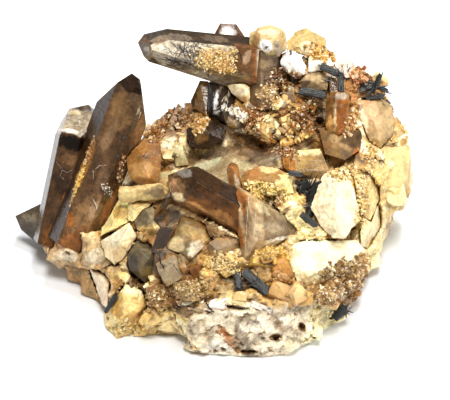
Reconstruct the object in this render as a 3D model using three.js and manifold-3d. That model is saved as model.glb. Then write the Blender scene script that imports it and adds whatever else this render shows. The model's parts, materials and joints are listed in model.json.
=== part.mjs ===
// A hand-sized cluster of smoky quartz, feldspar and aegirine crystals on the rock that they grew from.
// Millimetres, +Z up. The origin is on the flat underside that the cluster rests on, near its middle.
// The crystals stand on a display face that leans back from the front (-Y), so most places are given on
// that face: across (along +X), rise (up the lean) and out (away from the rock, square to the face).

import * as THREE from "three";
import { ConvexGeometry } from "three/addons/geometries/ConvexGeometry.js";
import { mergeVertices } from "three/addons/utils/BufferGeometryUtils.js";
import Module from "manifold-3d";

const wasm = await Module();
wasm.setup();

// ---- Driving dimensions ----
const FACE_LEAN = THREE.MathUtils.degToRad(38); // of the display face, back from upright
const FACE_MIDDLE = new THREE.Vector3(0, -2, 30);
const GAP = 0.35; // left between two pieces that touch
const QUARTZ_SLANT = THREE.MathUtils.degToRad(38.2); // between a quartz tip's faces and its axis
const ROCK_DEPTH = 9; // how deep a crystal is rooted, unless it says otherwise

const UP_FACE = new THREE.Vector3(0, Math.sin(FACE_LEAN), Math.cos(FACE_LEAN));
const OUT_OF_FACE = new THREE.Vector3(0, -Math.cos(FACE_LEAN), Math.sin(FACE_LEAN));

function onFace([across, rise, out]) {
  return new THREE.Vector3(across, 0, 0)
    .add(FACE_MIDDLE)
    .addScaledVector(UP_FACE, rise)
    .addScaledVector(OUT_OF_FACE, out);
}

// ---- Repeatable irregularity ----
function randomFrom(seed) {
  let state = seed;
  return () => {
    state = (state * 1664525 + 1013904223) % 4294967296;
    return state / 4294967296;
  };
}

// ---- Solids ----
function solidOf(geometry) {
  const bare = geometry.clone();
  bare.deleteAttribute("normal");
  bare.deleteAttribute("uv");
  const merged = mergeVertices(bare, 1e-4);
  return new wasm.Manifold(
    new wasm.Mesh({
      numProp: 3,
      vertProperties: merged.getAttribute("position").array,
      triVerts: new Uint32Array(merged.index.array),
    }),
  );
}

// A convex piece is its list of flat faces, so that it can be made again a little larger.
function faceOn(normal, point) {
  const unit = normal.clone().normalize();
  return { normal: unit, offset: unit.dot(point) };
}

function facesAround(points) {
  const position = new ConvexGeometry(points).getAttribute("position");
  const faces = [];
  for (let i = 0; i < position.count; i += 3) {
    const [a, b, c] = [0, 1, 2].map((k) => new THREE.Vector3().fromBufferAttribute(position, i + k));
    const normal = b.clone().sub(a).cross(c.clone().sub(a));
    if (normal.length() < 1e-3) continue;
    const face = faceOn(normal, a);
    const known = faces.some(
      (f) => f.normal.dot(face.normal) > 0.9999 && Math.abs(f.offset - face.offset) < 0.02,
    );
    if (!known) faces.push(face);
  }
  return faces;
}

const BLANK = solidOf(new THREE.BoxGeometry(400, 400, 400));

function convexSolid(faces, grow = 0) {
  return faces.reduce(
    (solid, { normal, offset }) => solid.trimByPlane([-normal.x, -normal.y, -normal.z], -(offset + grow)),
    BLANK,
  );
}

function largestBody(solid) {
  return solid.decompose().reduce((best, body) => (body.volume() > best.volume() ? body : best));
}

function geometryOf(solid) {
  const mesh = solid.getMesh();
  return new THREE.BufferGeometry()
    .setAttribute("position", new THREE.BufferAttribute(mesh.vertProperties, 3))
    .setIndex(new THREE.BufferAttribute(mesh.triVerts, 1));
}

// ---- Shapes ----

// A chunk between corners given on the display face.
const chunk = (corners) => facesAround(corners.map(onFace));

// A chunk between corners given in the part's own X, Y and Z.
const mass = (corners) => facesAround(corners.map((c) => new THREE.Vector3(...c)));

// A block whose outline shows on the display face: its front corners, and the same outline narrowed behind.
function block(front, { depth = ROCK_DEPTH, taper = 0.8, ridge = [] } = {}) {
  const middle = [0, 1, 2].map((k) => front.reduce((sum, c) => sum + c[k], 0) / front.length);
  const behind = front.map((c) => [
    middle[0] + (c[0] - middle[0]) * taper,
    middle[1] + (c[1] - middle[1]) * taper,
    c[2] - depth,
  ]);
  return chunk([...front, ...ridge, ...behind]);
}

// A direction turned by an angle from one axis towards another.
function turned(from, towards, angle) {
  return from.clone().multiplyScalar(Math.cos(angle)).addScaledVector(towards, Math.sin(angle));
}

// A six-sided quartz crystal from the middle of its root to its tip. sides scales how far each prism face is
// from the axis, taper leans it in towards the tip in degrees, and caps moves each tip face outwards in mm.
// cuts are more flat faces, each through three corners on the display face.
function quartz({ root, tip, width, roll = 0, caps = [], sides = [], taper = [], cuts = [] }) {
  const start = onFace(root);
  const apex = onFace(tip);
  const axis = apex.clone().sub(start).normalize();
  const across = OUT_OF_FACE.clone().cross(axis).normalize();
  const towards = axis.clone().cross(across);
  const faces = [faceOn(axis.clone().negate(), start)];
  for (let k = 0; k < 6; k++) {
    const turn = THREE.MathUtils.degToRad(roll + 60 * k);
    const lean = THREE.MathUtils.degToRad(taper[k] ?? 0);
    const side = turned(across, towards, turn);
    const distance = (width / 2) * (sides[k] ?? 1);
    faces.push(faceOn(turned(side, axis, lean), start.clone().addScaledVector(side, distance)));
    if (caps[k] === undefined) continue;
    const slope = turned(side, axis, QUARTZ_SLANT);
    faces.push(faceOn(slope, apex.clone().addScaledVector(slope, caps[k])));
  }
  const middle = start.clone().lerp(apex, 0.6);
  for (const corners of cuts) {
    const [p, q, r] = corners.map(onFace);
    const normal = q.clone().sub(p).cross(r.clone().sub(p));
    if (normal.dot(middle.clone().sub(p)) > 0) normal.negate();
    faces.push(faceOn(normal, p));
  }
  return faces;
}

// A flat black blade of aegirine with a chisel end.
function blade({ from, to, width, thick = width * 0.6, roll = 0 }) {
  const start = onFace(from);
  const end = onFace(to);
  const axis = end.clone().sub(start).normalize();
  const side = OUT_OF_FACE.clone().cross(axis).normalize();
  const over = axis.clone().cross(side);
  const turn = THREE.MathUtils.degToRad(roll);
  const u = turned(side, over, turn);
  const v = turned(over, side, -turn);
  const faces = [faceOn(axis.clone().negate(), start)];
  for (const sign of [1, -1]) {
    const flat = u.clone().multiplyScalar(sign);
    const broad = v.clone().multiplyScalar(sign);
    faces.push(faceOn(flat, start.clone().addScaledVector(flat, width / 2)));
    faces.push(faceOn(broad, start.clone().addScaledVector(broad, thick / 2)));
    for (const other of [1, -1]) {
      const bevel = flat.clone().addScaledVector(v, other).normalize();
      faces.push(faceOn(bevel, start.clone().addScaledVector(bevel, (width + thick) * 0.3)));
    }
    faces.push(faceOn(flat.clone().addScaledVector(axis, 1.1), end));
  }
  return faces;
}

// An irregular lump of rock about a middle given on the display face.
function lump([across, rise, out], radii, seed, corners = 13) {
  const random = randomFrom(seed);
  const middle = onFace([across, rise, out]);
  const points = [];
  for (let i = 0; i < corners; i++) {
    const height = 1 - (2 * (i + 0.5)) / corners;
    const around = i * 2.39996 + random() * 0.9;
    const ring = Math.sqrt(1 - height * height);
    const swell = 0.82 + 0.3 * random();
    points.push(
      middle
        .clone()
        .add(new THREE.Vector3(radii[0] * ring * Math.cos(around) * swell, 0, 0))
        .addScaledVector(UP_FACE, radii[1] * ring * Math.sin(around) * swell)
        .addScaledVector(OUT_OF_FACE, radii[2] * height * swell),
    );
  }
  return facesAround(points);
}

// ---- Crystals, in the order that they grew over one another: an earlier one cuts a later one ----
const SMOKY = { color: 0x4a382b, roughness: 0.08, metalness: 0 };
const CLEAR = { color: 0x8d8276, roughness: 0.08, metalness: 0 };
const AMBER = { color: 0xa0622c, roughness: 0.15, metalness: 0 };
const GREY = { color: 0x7d766a, roughness: 0.35, metalness: 0 };
const CREAM = { color: 0xeadfc4, roughness: 0.5, metalness: 0 };
const GOLDEN = { color: 0xd9b66f, roughness: 0.6, metalness: 0 };
const BLACK = { color: 0x16191b, roughness: 0.3, metalness: 0 };
const ROCK = { color: 0xcfc2a8, roughness: 0.8, metalness: 0 };

const crystals = [];
const grow = (name, finish, faces) => crystals.push({ name, finish, faces });

// The tall pair on the left.
grow("smoky_quartz_left", SMOKY, quartz({
  root: [-52.2, -13.4, -18], tip: [-43, 29.4, -10], width: 11.2, roll: 15,
  cuts: [
    [[-49.2, 20, -6.2], [-41.2, 18.1, -5.2], [-46.1, 26, -9.8]],
    [[-47, 27.4, -9.6], [-42.4, 29.7, -10.8], [-46, 26.4, -8.6]],
    [[-46.8, 27.6, -10], [-49.6, 21.6, -10], [-48.2, 23, -7.4]],
    [[-42.1, 29.7, -10.5], [-39.6, 26.1, -10.5], [-40.6, 26, -7]],
    [[-42.1, 29.7, -10.5], [-46.8, 27.5, -11], [-44, 24, -15.5]],
    [[-38.2, 18, 0], [-48.1, -4.5, 0], [-43.4, 6, -20]],
  ],
}));
grow("smoky_quartz_tall", SMOKY, quartz({
  root: [-46.9, -13.4, -12.5], tip: [-25.4, 37.6, -3.5], width: 14, roll: 30,
  sides: [0.93, 1, 0.94, 0.94, 1, 0.93], taper: [-1.8, 0, 0, 0, 0, -1.8],
  cuts: [
    [[-27.6, 38.4, -2.5], [-31.4, 35.8, 2.4], [-40.4, 28.2, -5.5]],
    [[-27.6, 37.8, -2.5], [-29.6, 32.5, 3], [-25.6, 31.8, 0.5]],
    [[-27.9, 23, 2.6], [-24, 24, -4.5], [-25.6, 33.4, -2.5]],
    [[-24, 24, -5], [-25.6, 33.4, -4.5], [-28, 26, -12]],
    [[-27.6, 37.8, -2.5], [-25.4, 33.8, -6], [-30, 33, -10.5]],
  ],
}));

// The long crystal that points left from the top, and the ones around its root.
grow("feldspar_dome", CREAM, block(
  [
    [7.4, 50.4, -9], [9.9, 52.1, -9.5], [13.5, 52.7, -10], [17, 51.9, -9.5], [18.6, 49.8, -9],
    [18.6, 45.6, -8], [16.8, 43.5, -7.5], [12.9, 42.6, -7], [9, 44.1, -7.5], [7.4, 46.8, -8],
  ],
  { depth: 8, ridge: [[10.5, 49.2, -4.6], [15.4, 49.4, -4.8], [13, 45.8, -4]] },
));
grow("smoky_quartz_column", GREY, quartz({
  root: [12.4, 27, -8.5], tip: [12.4, 48, -10.5], width: 8.4, roll: 40, caps: [1, 1, 1, 1, 1, 1],
}));
grow("smoky_quartz_top", CLEAR, quartz({
  root: [11, 40.2, -12], tip: [-25, 46.8, -9], width: 12.4, roll: 30,
  sides: [1.24, 1, 1.22, 1.22, 1, 1.24], taper: [6.2, 0, 4.2, 4.2, 0, 6.2],
  cuts: [
    [[-26.4, 47.4, -8.5], [-18.3, 48.7, -3.8], [-18.6, 51, -9]],
    [[-22.8, 47.4, -3.2], [-20.8, 42, -3.2], [-24.6, 43.2, -8.4]],
    [[-24.6, 43.2, -8.5], [-21.6, 40.6, -8.5], [-21, 41.4, -3.4]],
    [[-26.4, 47.4, -8.5], [-24.2, 43.5, -8.8], [-20, 44, -14.5]],
  ],
}));
grow("smoky_quartz_back", SMOKY, block(
  [
    [-3.7, 49.4, -17], [-1.5, 53.6, -17], [3.4, 53.4, -17], [6.4, 49, -17], [6.6, 43, -17],
    [-4, 43, -17],
  ],
  { depth: 7, taper: 0.9, ridge: [[1, 47, -14.5]] },
));

// The dark crystals under the long one.
grow("golden_quartz", AMBER, block(
  [
    [0.4, 35.2, -10], [1.8, 37.2, -10], [5.4, 38, -9.5], [8.2, 37, -9.5], [8.4, 30.6, -8.5],
    [6.9, 28.8, -8], [4.5, 30.2, -8.5], [1.9, 32.4, -9.5],
  ],
  { depth: 8, ridge: [[5.6, 34, -6.4], [6.6, 31, -6.2]] },
));
grow("smoky_quartz_shining", SMOKY, block(
  [
    [-4.9, 35.6, -13], [-0.9, 35.6, -12], [3.1, 31, -12], [3.4, 29.5, -11], [0.3, 23.1, -9],
    [-5.2, 26.4, -10],
  ],
  { ridge: [[-2.4, 31, -8], [-1, 27.5, -6.5]] },
));
grow("smoky_quartz_amber", AMBER, block(
  [[-7.6, 36.2, -15], [-10.4, 30, -15], [-9.8, 27.9, -14], [-5.6, 25.5, -13], [-5, 36, -15]],
  { depth: 6 },
));
grow("smoky_quartz_low", SMOKY, block(
  [
    [-9.6, 24.6, -9], [-4.8, 24.6, -8], [0.3, 22.5, -9], [-0.3, 18, -8], [-5.8, 15.2, -6.5],
    [-10.6, 16.2, -7], [-11.7, 21, -9],
  ],
  { ridge: [[-6.2, 23.2, -5.5], [-9, 19.5, -5.5], [-5.2, 20, -5]] },
));

// The middle pair.
grow("smoky_quartz_middle", SMOKY, quartz({
  root: [9, -7, 11], tip: [-17.6, 7.8, 9.5], width: 11.4, roll: 20,
  caps: [1, -1.6, 0.6, 0, 1, 0.5],
}));
grow("quartz_point_middle", CLEAR, chunk([
  [3.9, 3.9, 13], [2.1, -0.6, 15], [5.4, -18.5, 17], [8.5, -8.4, 22], [6.9, -0.9, 19],
  [11.6, -1.7, 16.5], [18.3, -5, 12.5], [21.7, -9.9, 11], [17.4, -12, 15], [13.6, -11.2, 19.5],
  [9.3, -12.3, 20.5], [5, -2, 6], [8, -14, 8], [18, -9, 5], [12, 0, 6],
]));
grow("orange_quartz_small", AMBER, quartz({
  root: [3, 3.5, 8], tip: [2, 11.3, 10.5], width: 3.4, roll: 10, caps: [0, 0.6, 0, 0.6, 0, 0.6],
}));

// Quartz on the upper right.
grow("smoky_quartz_upper", SMOKY, block(
  [
    [22.4, 35.7, -7], [24.8, 38.1, -8], [28.6, 38.6, -8], [31.4, 36.7, -8], [30.7, 33.2, -6],
    [23.4, 33.2, -6],
  ],
  { depth: 7, ridge: [[26, 36, -5]] },
));
grow("smoky_quartz_stub", SMOKY, block(
  [[31.5, 36.7, -7], [33.8, 36, -7], [33.9, 32.4, -5.5], [31.6, 31.8, -5.5]],
  { depth: 5 },
));
grow("orange_quartz_upper", AMBER, quartz({
  root: [34.2, 31.6, -7], tip: [33.6, 18, -3], width: 6.4, roll: 15, caps: [0, 1, 0, 1.4, 0, 1],
}));
grow("striated_quartz", CLEAR, block(
  [
    [16.8, 14.4, 3], [21, 13.6, 4], [28.5, 15.4, 2], [31.1, 9, 3], [28.2, 5.7, 3], [22.7, 7.5, 5],
    [19.2, 8.2, 5], [17.6, 9.6, 4],
  ],
  { ridge: [[21, 13.2, 6], [21.6, 8.4, 7.5]] },
));
grow("grey_quartz_upper", GREY, block(
  [[28.2, 21.6, -4], [33, 22.4, -5], [40.8, 21, -7], [40.5, 15, -4], [36, 12, -1], [30, 13.8, 0.5]],
  { ridge: [[33.5, 18, 0]] },
));
grow("grey_quartz_knob_upper", GREY, block(
  [
    [-27.2, -6.5, 5], [-24.1, -2.7, 5], [-21.7, -2, 5], [-17.6, -7.2, 6], [-18.6, -10.2, 6],
    [-21.4, -11.7, 6], [-26.2, -8.9, 6],
  ],
  { ridge: [[-22.5, -5, 8.5], [-21, -8.5, 9]] },
));
grow("grey_quartz_knob_lower", GREY, block(
  [
    [-29.3, -16.5, 6], [-26.2, -12, 6], [-22.7, -12, 6], [-19.3, -15.1, 7], [-21, -22, 7.5],
    [-23.8, -24.8, 7], [-28.6, -21, 6],
  ],
  { ridge: [[-25.5, -15, 10], [-22.5, -17.5, 11], [-25, -20.5, 11]] },
));
grow("smoky_quartz_wing", GREY, block(
  [
    [-64, -4.9, -25], [-61, -4, -24], [-55.5, -0.8, -22], [-51, -6, -21], [-53, -14, -23],
    [-57.5, -13, -25], [-62.3, -9, -26],
  ],
  { depth: 6, ridge: [[-56, -6, -20.5]] },
));
grow("grey_quartz_right_edge", GREY, block(
  [[46.5, -1.5, -18], [50.6, -2.2, -20], [51.2, -5.5, -21], [48, -7.4, -20], [45, -6, -17]],
  { depth: 6 },
));

// Aegirine.
grow("aegirine_bar", BLACK, blade({
  from: [22.2, 33, -4.5], to: [30.6, 31.4, -4], width: 2.5, thick: 1.8,
}));
grow("aegirine_arc_upper", BLACK, blade({
  from: [29, 40.4, -7.2], to: [34.3, 37.8, -5.5], width: 2.2,
}));
grow("aegirine_arc_lower", BLACK, blade({
  from: [34.6, 38.2, -6.8], to: [35.1, 31.8, -5], width: 1.8,
}));
grow("aegirine_patch_left", BLACK, blade({
  from: [21.5, -2.5, 3.5], to: [24.4, 6.3, 6.5], width: 3.4, thick: 2.2, roll: 20,
}));
grow("aegirine_patch_middle", BLACK, blade({
  from: [23.6, -4, 5], to: [28.6, 5.6, 7], width: 3.2, thick: 2,
}));
grow("aegirine_patch_right", BLACK, blade({
  from: [24, -6.5, 8.5], to: [26.9, -0.6, 8], width: 2.2, thick: 1.8, roll: 40,
}));
grow("aegirine_leaf", BLACK, blade({
  from: [22.6, -4.2, 13.6], to: [27.5, -8, 13.4], width: 1.9, thick: 1,
}));
grow("aegirine_splinter", BLACK, blade({
  from: [19, 8.2, 9], to: [23.4, 7.4, 9], width: 1.7, thick: 1,
}));
grow("aegirine_post", BLACK, blade({ from: [47.3, 10.3, -13.5], to: [47.7, 4.4, -13], width: 1.5 }));
grow("aegirine_spray_tall", BLACK, blade({ from: [44.6, 32.4, -13], to: [47, 38.2, -11], width: 1.5 }));
grow("aegirine_spray_left", BLACK, blade({
  from: [45.6, 34.8, -12.6], to: [40.6, 33.4, -11], width: 1.4,
}));
grow("aegirine_spray_right", BLACK, blade({
  from: [44.6, 35, -13.4], to: [49.4, 32.8, -12], width: 1.4,
}));
grow("aegirine_spray_low", BLACK, blade({
  from: [42.8, 30.6, -12.5], to: [48.3, 31.6, -11.5], width: 1.5,
}));
grow("aegirine_front", BLACK, blade({
  from: [5.6, -21.2, 18.6], to: [13.4, -28, 20], width: 3, thick: 2,
}));
grow("aegirine_front_side", BLACK, blade({
  from: [3.4, -21.5, 18], to: [4.4, -26.5, 20.5], width: 2.2, thick: 1.6,
}));
grow("aegirine_lower_left", BLACK, blade({
  from: [-32.6, -28.6, 6.4], to: [-35.9, -33.8, 3.4], width: 1.3, thick: 1,
}));
grow("aegirine_lower_right", BLACK, blade({
  from: [32.4, -35.2, 5], to: [36.6, -31.6, 5.5], width: 3, thick: 2,
}));

// Feldspar.
grow("feldspar_large", CREAM, block(
  [[36.2, 10.1, 5], [29.4, 7.8, 7], [27, 2, 9], [25.4, -2.3, 10], [28.8, -8.1, 12], [31.9, -11.2, 12.5],
    [35.6, -11.5, 11], [40.1, -6, 7], [39.8, -2, 6], [37.7, 5, 5]],
  { ridge: [[34.6, 6.5, 10], [32.6, -1, 14], [33.6, -8.5, 14.5]] },
));
grow("feldspar_white", CREAM, block(
  [
    [18.6, -13.7, 14], [19.8, -12.4, 14], [30, -12, 11], [39.8, -12.1, 4], [41.7, -15, 1],
    [43.4, -21.3, -3], [39, -25, 2], [27.5, -25, 13], [24.2, -25.9, 15.5], [21.4, -24.3, 16.5],
    [19.1, -19.8, 16.5],
  ],
  { ridge: [[21.5, -15, 17], [29.5, -15.5, 14.5], [38.5, -16, 8], [25, -22.5, 17.5]] },
));
grow("feldspar_upper_right", CREAM, block(
  [
    [40, 30.1, -10], [48.2, 30.8, -14], [50.3, 28.8, -15], [51.7, 24.6, -16], [50.3, 19.1, -14],
    [46.9, 15.5, -10], [43.4, 18.4, -8], [40.7, 25, -8],
  ],
  { ridge: [[45, 24, -7], [46.5, 18, -8]] },
));
grow("feldspar_front", CREAM, block(
  [
    [-12.6, -4.5, 11], [-6.3, -6.9, 12], [-3.6, -11.7, 13], [-6, -14.1, 15], [-10.2, -17.7, 16],
    [-13.5, -15.6, 15], [-17.7, -13.8, 13],
  ],
  { ridge: [[-10.5, -9, 16.5], [-8.5, -12.5, 18.5], [-14, -12.5, 16.5]] },
));
grow("feldspar_left_upper", GOLDEN, block(
  [
    [-37.5, -11, -1], [-36.6, -8.1, -2], [-33.1, -2.7, -3], [-31.5, 0.6, -3], [-28.6, -1, -1],
    [-28.6, -6.5, 1],
  ],
  { ridge: [[-31.5, -4, 1.5], [-34.5, -9, 1]] },
));
grow("feldspar_left_lower", CREAM, block(
  [
    [-37.2, -12.4, 0], [-28.6, -6.8, 3], [-26.2, -10.3, 4.5], [-28.9, -15.8, 5], [-33.1, -19.6, 4],
    [-35.8, -17.2, 2],
  ],
  { ridge: [[-31.5, -12.5, 6.5]] },
));
grow("feldspar_wedge", GOLDEN, block(
  [[-28.9, -0.4, 1], [-21.8, -0.7, 2.5], [-23.4, -2.9, 4], [-27.6, -6.3, 4], [-29, -6, 2]],
  { ridge: [[-26.8, -2, 4.5]] },
));
grow("feldspar_finger", GOLDEN, blade({
  from: [-31.4, 1.6, 2.5], to: [-16.8, 2.6, 5.5], width: 4.4, thick: 3.6, roll: 20,
}));
grow("feldspar_shard", CREAM, block(
  [[-41, -20.3, -6], [-34.5, -23.4, 0], [-35.2, -33, 0], [-37.2, -30.6, -3], [-38.9, -24.4, -4]],
  { ridge: [[-37, -24, 0.5]] },
));
grow("feldspar_lower_left", GOLDEN, block(
  [
    [-29.6, -24.8, 6], [-24.5, -27.2, 8], [-23.1, -31.2, 8], [-24.8, -38.3, 3], [-32.4, -41.4, 5],
    [-36.2, -37.5, 0.5], [-36, -33.3, 0.5], [-32.4, -28.2, 4],
  ],
  { ridge: [[-29.5, -28, 10], [-31, -34.5, 9.5], [-26.5, -33.5, 10]] },
));
grow("feldspar_crown", CREAM, block(
  [
    [18.6, 48, -14], [21.4, 51.2, -16], [24.8, 52.2, -17], [27.2, 51, -17], [30.6, 48.8, -17],
    [30.6, 45.4, -15], [29.6, 42.4, -13], [23.8, 44, -12], [18.8, 45, -12],
  ],
  { ridge: [[25, 48.2, -11.5]] },
));
grow("feldspar_spotted", CREAM, block(
  [
    [15.2, 41.9, -9], [19.3, 45.6, -11], [22.4, 44.3, -11], [24.5, 40.8, -10], [24.1, 37.7, -8],
    [21.4, 36.3, -7], [18.3, 39.8, -7],
  ],
  { ridge: [[19.6, 42.6, -6], [21.8, 39.5, -5.5]] },
));
grow("feldspar_clear", CREAM, block(
  [[24.8, 43, -11], [31, 43.6, -12], [33, 40.6, -11], [28.6, 39, -9], [25.2, 38.4, -9]],
  { depth: 7, ridge: [[28, 41.6, -8.5]] },
));
grow("feldspar_pink", CREAM, block(
  [
    [29.5, 45, -14], [34.5, 43.8, -15], [39, 41.6, -15.5], [40.5, 37.6, -13], [36.4, 37, -10.5],
    [33.4, 40.4, -11],
  ],
  { ridge: [[35.5, 41, -10.5]] },
));
grow("feldspar_peach", GOLDEN, block(
  [
    [3, 3.9, 8], [6, 8.4, 6], [11.1, 10.2, 5], [15.3, 9.6, 5.5], [19.8, 7.5, 6], [20.6, 2, 9],
    [13, 1.6, 11],
  ],
  { ridge: [[10.5, 6, 11], [17, 5, 11.5]] },
));
grow("feldspar_right", CREAM, block(
  [
    [47.4, 12.4, -16], [56.4, 12, -21], [57.4, 5.7, -22], [56, 0.8, -21], [53, -0.6, -19],
    [48.6, 2.4, -14], [48, 7.5, -13.5],
  ],
  { ridge: [[51.5, 8.5, -13.5]] },
));
grow("feldspar_right_inner", GOLDEN, block(
  [[38, 8.9, 0], [45.8, 8, -9], [46.6, 0.4, -8], [43.8, -6.4, -3], [41, -4.4, 1.5], [40, 3, 2.5]],
  { ridge: [[42.5, 3.5, 0.5]] },
));
grow("feldspar_right_lower", CREAM, block(
  [[41.2, -4.8, 0], [46.6, -1.4, -10], [47, -8, -12], [43, -14.6, -7], [40.6, -13.6, 0]],
  { ridge: [[43.6, -8.5, -0.5]] },
));
grow("feldspar_left_brown", GOLDEN, block(
  [
    [-28.2, 17.6, -8], [-22.5, 18.9, -8], [-19.5, 17.2, -7], [-19.2, 10.5, -2], [-20.1, 5.1, 1],
    [-24, 3.9, 2], [-28.5, 6, 0], [-29.6, 12, -4],
  ],
  { ridge: [[-25, 13.5, -1], [-23.5, 7.5, 3.5]] },
));

// ---- The rock ----
const rock = [
  // The flat sole.
  mass([
    [-50, 12, 0], [-38, 32, 0], [-12, 38, 0], [12, 42, 0], [32, 40, 0], [43, 26, 0], [44, 0, 0],
    [0, -20, 0], [-37, -14, 0], [-54, 9, 0], [-48, 12, 8], [-37, 30, 8], [-12, 36, 8], [12, 40, 8],
    [31, 38, 8], [41, 25, 8], [42, 0, 8], [0, -18, 8], [-36, -12, 8], [-51, 9, 8],
  ]),
  // The pale front wall and the slab behind it.
  mass([
    [-6.5, -40.5, 0], [6, -41.5, 0], [18, -41, 0], [28, -34, 0], [37, -20, 0], [43, -3, 0], [44, 14, 0],
    [-16, -4, 0], [-14, -31, 0], [-11.4, -37.6, 17], [2, -38.5, 19], [18, -38, 19], [28, -33, 18],
    [38, -18, 16], [44, -4, 14], [46, 14, 16], [-16, -4, 22], [-15, -30, 17],
  ]),
  // The mass under the tall pair, and the foot in front of it.
  mass([
    [-36.4, -19.6, 0], [-24, -24, 0], [-14, -26, 0], [-39, -13.3, 0], [-44.7, -7.9, 0], [-54, 9, 0],
    [-44, 24, 0], [-14, 20, 0], [-34, -18, 12], [-22, -22, 15], [-42, -4, 12], [-51, 9, 10],
    [-45, 22, 9], [-14, 20, 24], [-14, -22, 20],
  ]),
  mass([
    [-35.6, -28, 0], [-33, -31, 0], [-22, -30.5, 0], [-13, -31, 0], [-14, -20, 0], [-24, -14, 0],
    [-36.2, -18, 0], [-33, -24, 12], [-22, -26, 15], [-14, -27, 16], [-14, -18, 18], [-26, -14, 14],
  ]),
  // Round the roots of the tall pair.
  chunk([
    [-57, -10.5, -19], [-50, -9.5, -9], [-43, -10, -3.5], [-37.5, -11.5, -2.5], [-35, -18, -3],
    [-42, -21, -6], [-50, -19, -12], [-55, -16, -18], [-50, -6, -24], [-38, -6, -14], [-34, -12, -14],
    [-44, -20, -16],
  ]),
  // The body of the cluster.
  mass([
    [-36, -10, 14], [-22, -24, 17], [16, -31, 19], [32, -26, 18], [-32, 0, 22], [-24, -14, 26],
    [-8, -18, 30], [12, -17, 33], [28, -13, 30], [-24, 8, 29], [0, -4, 37], [28, -2, 37], [-20, 22, 26],
    [24, 20, 40], [40, 0, 26], [42, 24, 10], [-30, 24, 6], [30, 34, 6],
  ]),
  // Where the ridge runs down to the tall pair.
  chunk([
    [-27, 17.5, -15], [-21, 20.5, -17], [-15, 24, -18], [-9.5, 27.5, -19], [-7, 20, -13], [-14, 13, -8],
    [-23, 13, -9], [-26, 15, -26], [-10, 24, -30], [-8, 8, -22], [-22, 8, -20],
  ]),
  // The upper right shoulder.
  chunk([
    [35, 41.5, -15], [40, 40, -16], [45, 37.4, -15.5], [49.5, 32, -17], [51.5, 26, -19], [43, 28, -11],
    [37, 34, -10], [36, 38, -28], [48, 28, -30], [38, 24, -26],
  ]),
  // The back ridge.
  mass([
    [-16, 18, 30], [-14, 25, 38], [-4, 25, 44], [3, 33, 53.5], [14, 36, 57.5], [29, 36, 56],
    [38, 32, 51], [46, 27, 44], [51, 24, 38], [24, 14, 46], [38, 12, 42], [-12, 36, 24], [6, 42, 40],
    [30, 43, 40], [46, 34, 28], [44, 16, 20], [-8, 38, 0], [12, 42, 0], [32, 40, 0], [43, 26, 0],
  ]),
  // The bulging right side.
  mass([
    [56.5, 19, 27], [55.5, 24, 20], [52, 30, 34], [51, 12, 33], [49, 5, 17], [46.5, 2, 8], [45, 0, 0],
    [44, 26, 0], [48, 30, 12], [36, -4, 30], [40, 14, 40], [34, 24, 10],
  ]),
  // The low back on the left.
  mass([
    [-50, 12, 0], [-38, 32, 0], [-12, 39, 0], [-8, 10, 0], [-49, 14, 10], [-38, 30, 12], [-14, 37, 22],
    [-12, 16, 28], [-30, 12, 20],
  ]),
];

// How far the rock reaches from a point along a direction.
function reach(from, direction) {
  let furthest = 0;
  for (const faces of rock) {
    let enter = -Infinity;
    let leave = Infinity;
    for (const { normal, offset } of faces) {
      const speed = normal.dot(direction);
      const depth = offset - normal.dot(from);
      if (Math.abs(speed) < 1e-6) leave = depth > 0 ? leave : -Infinity;
      else if (speed > 0) leave = Math.min(leave, depth / speed);
      else enter = Math.max(enter, depth / speed);
    }
    if (enter < leave) furthest = Math.max(furthest, leave);
  }
  return furthest;
}

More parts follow.
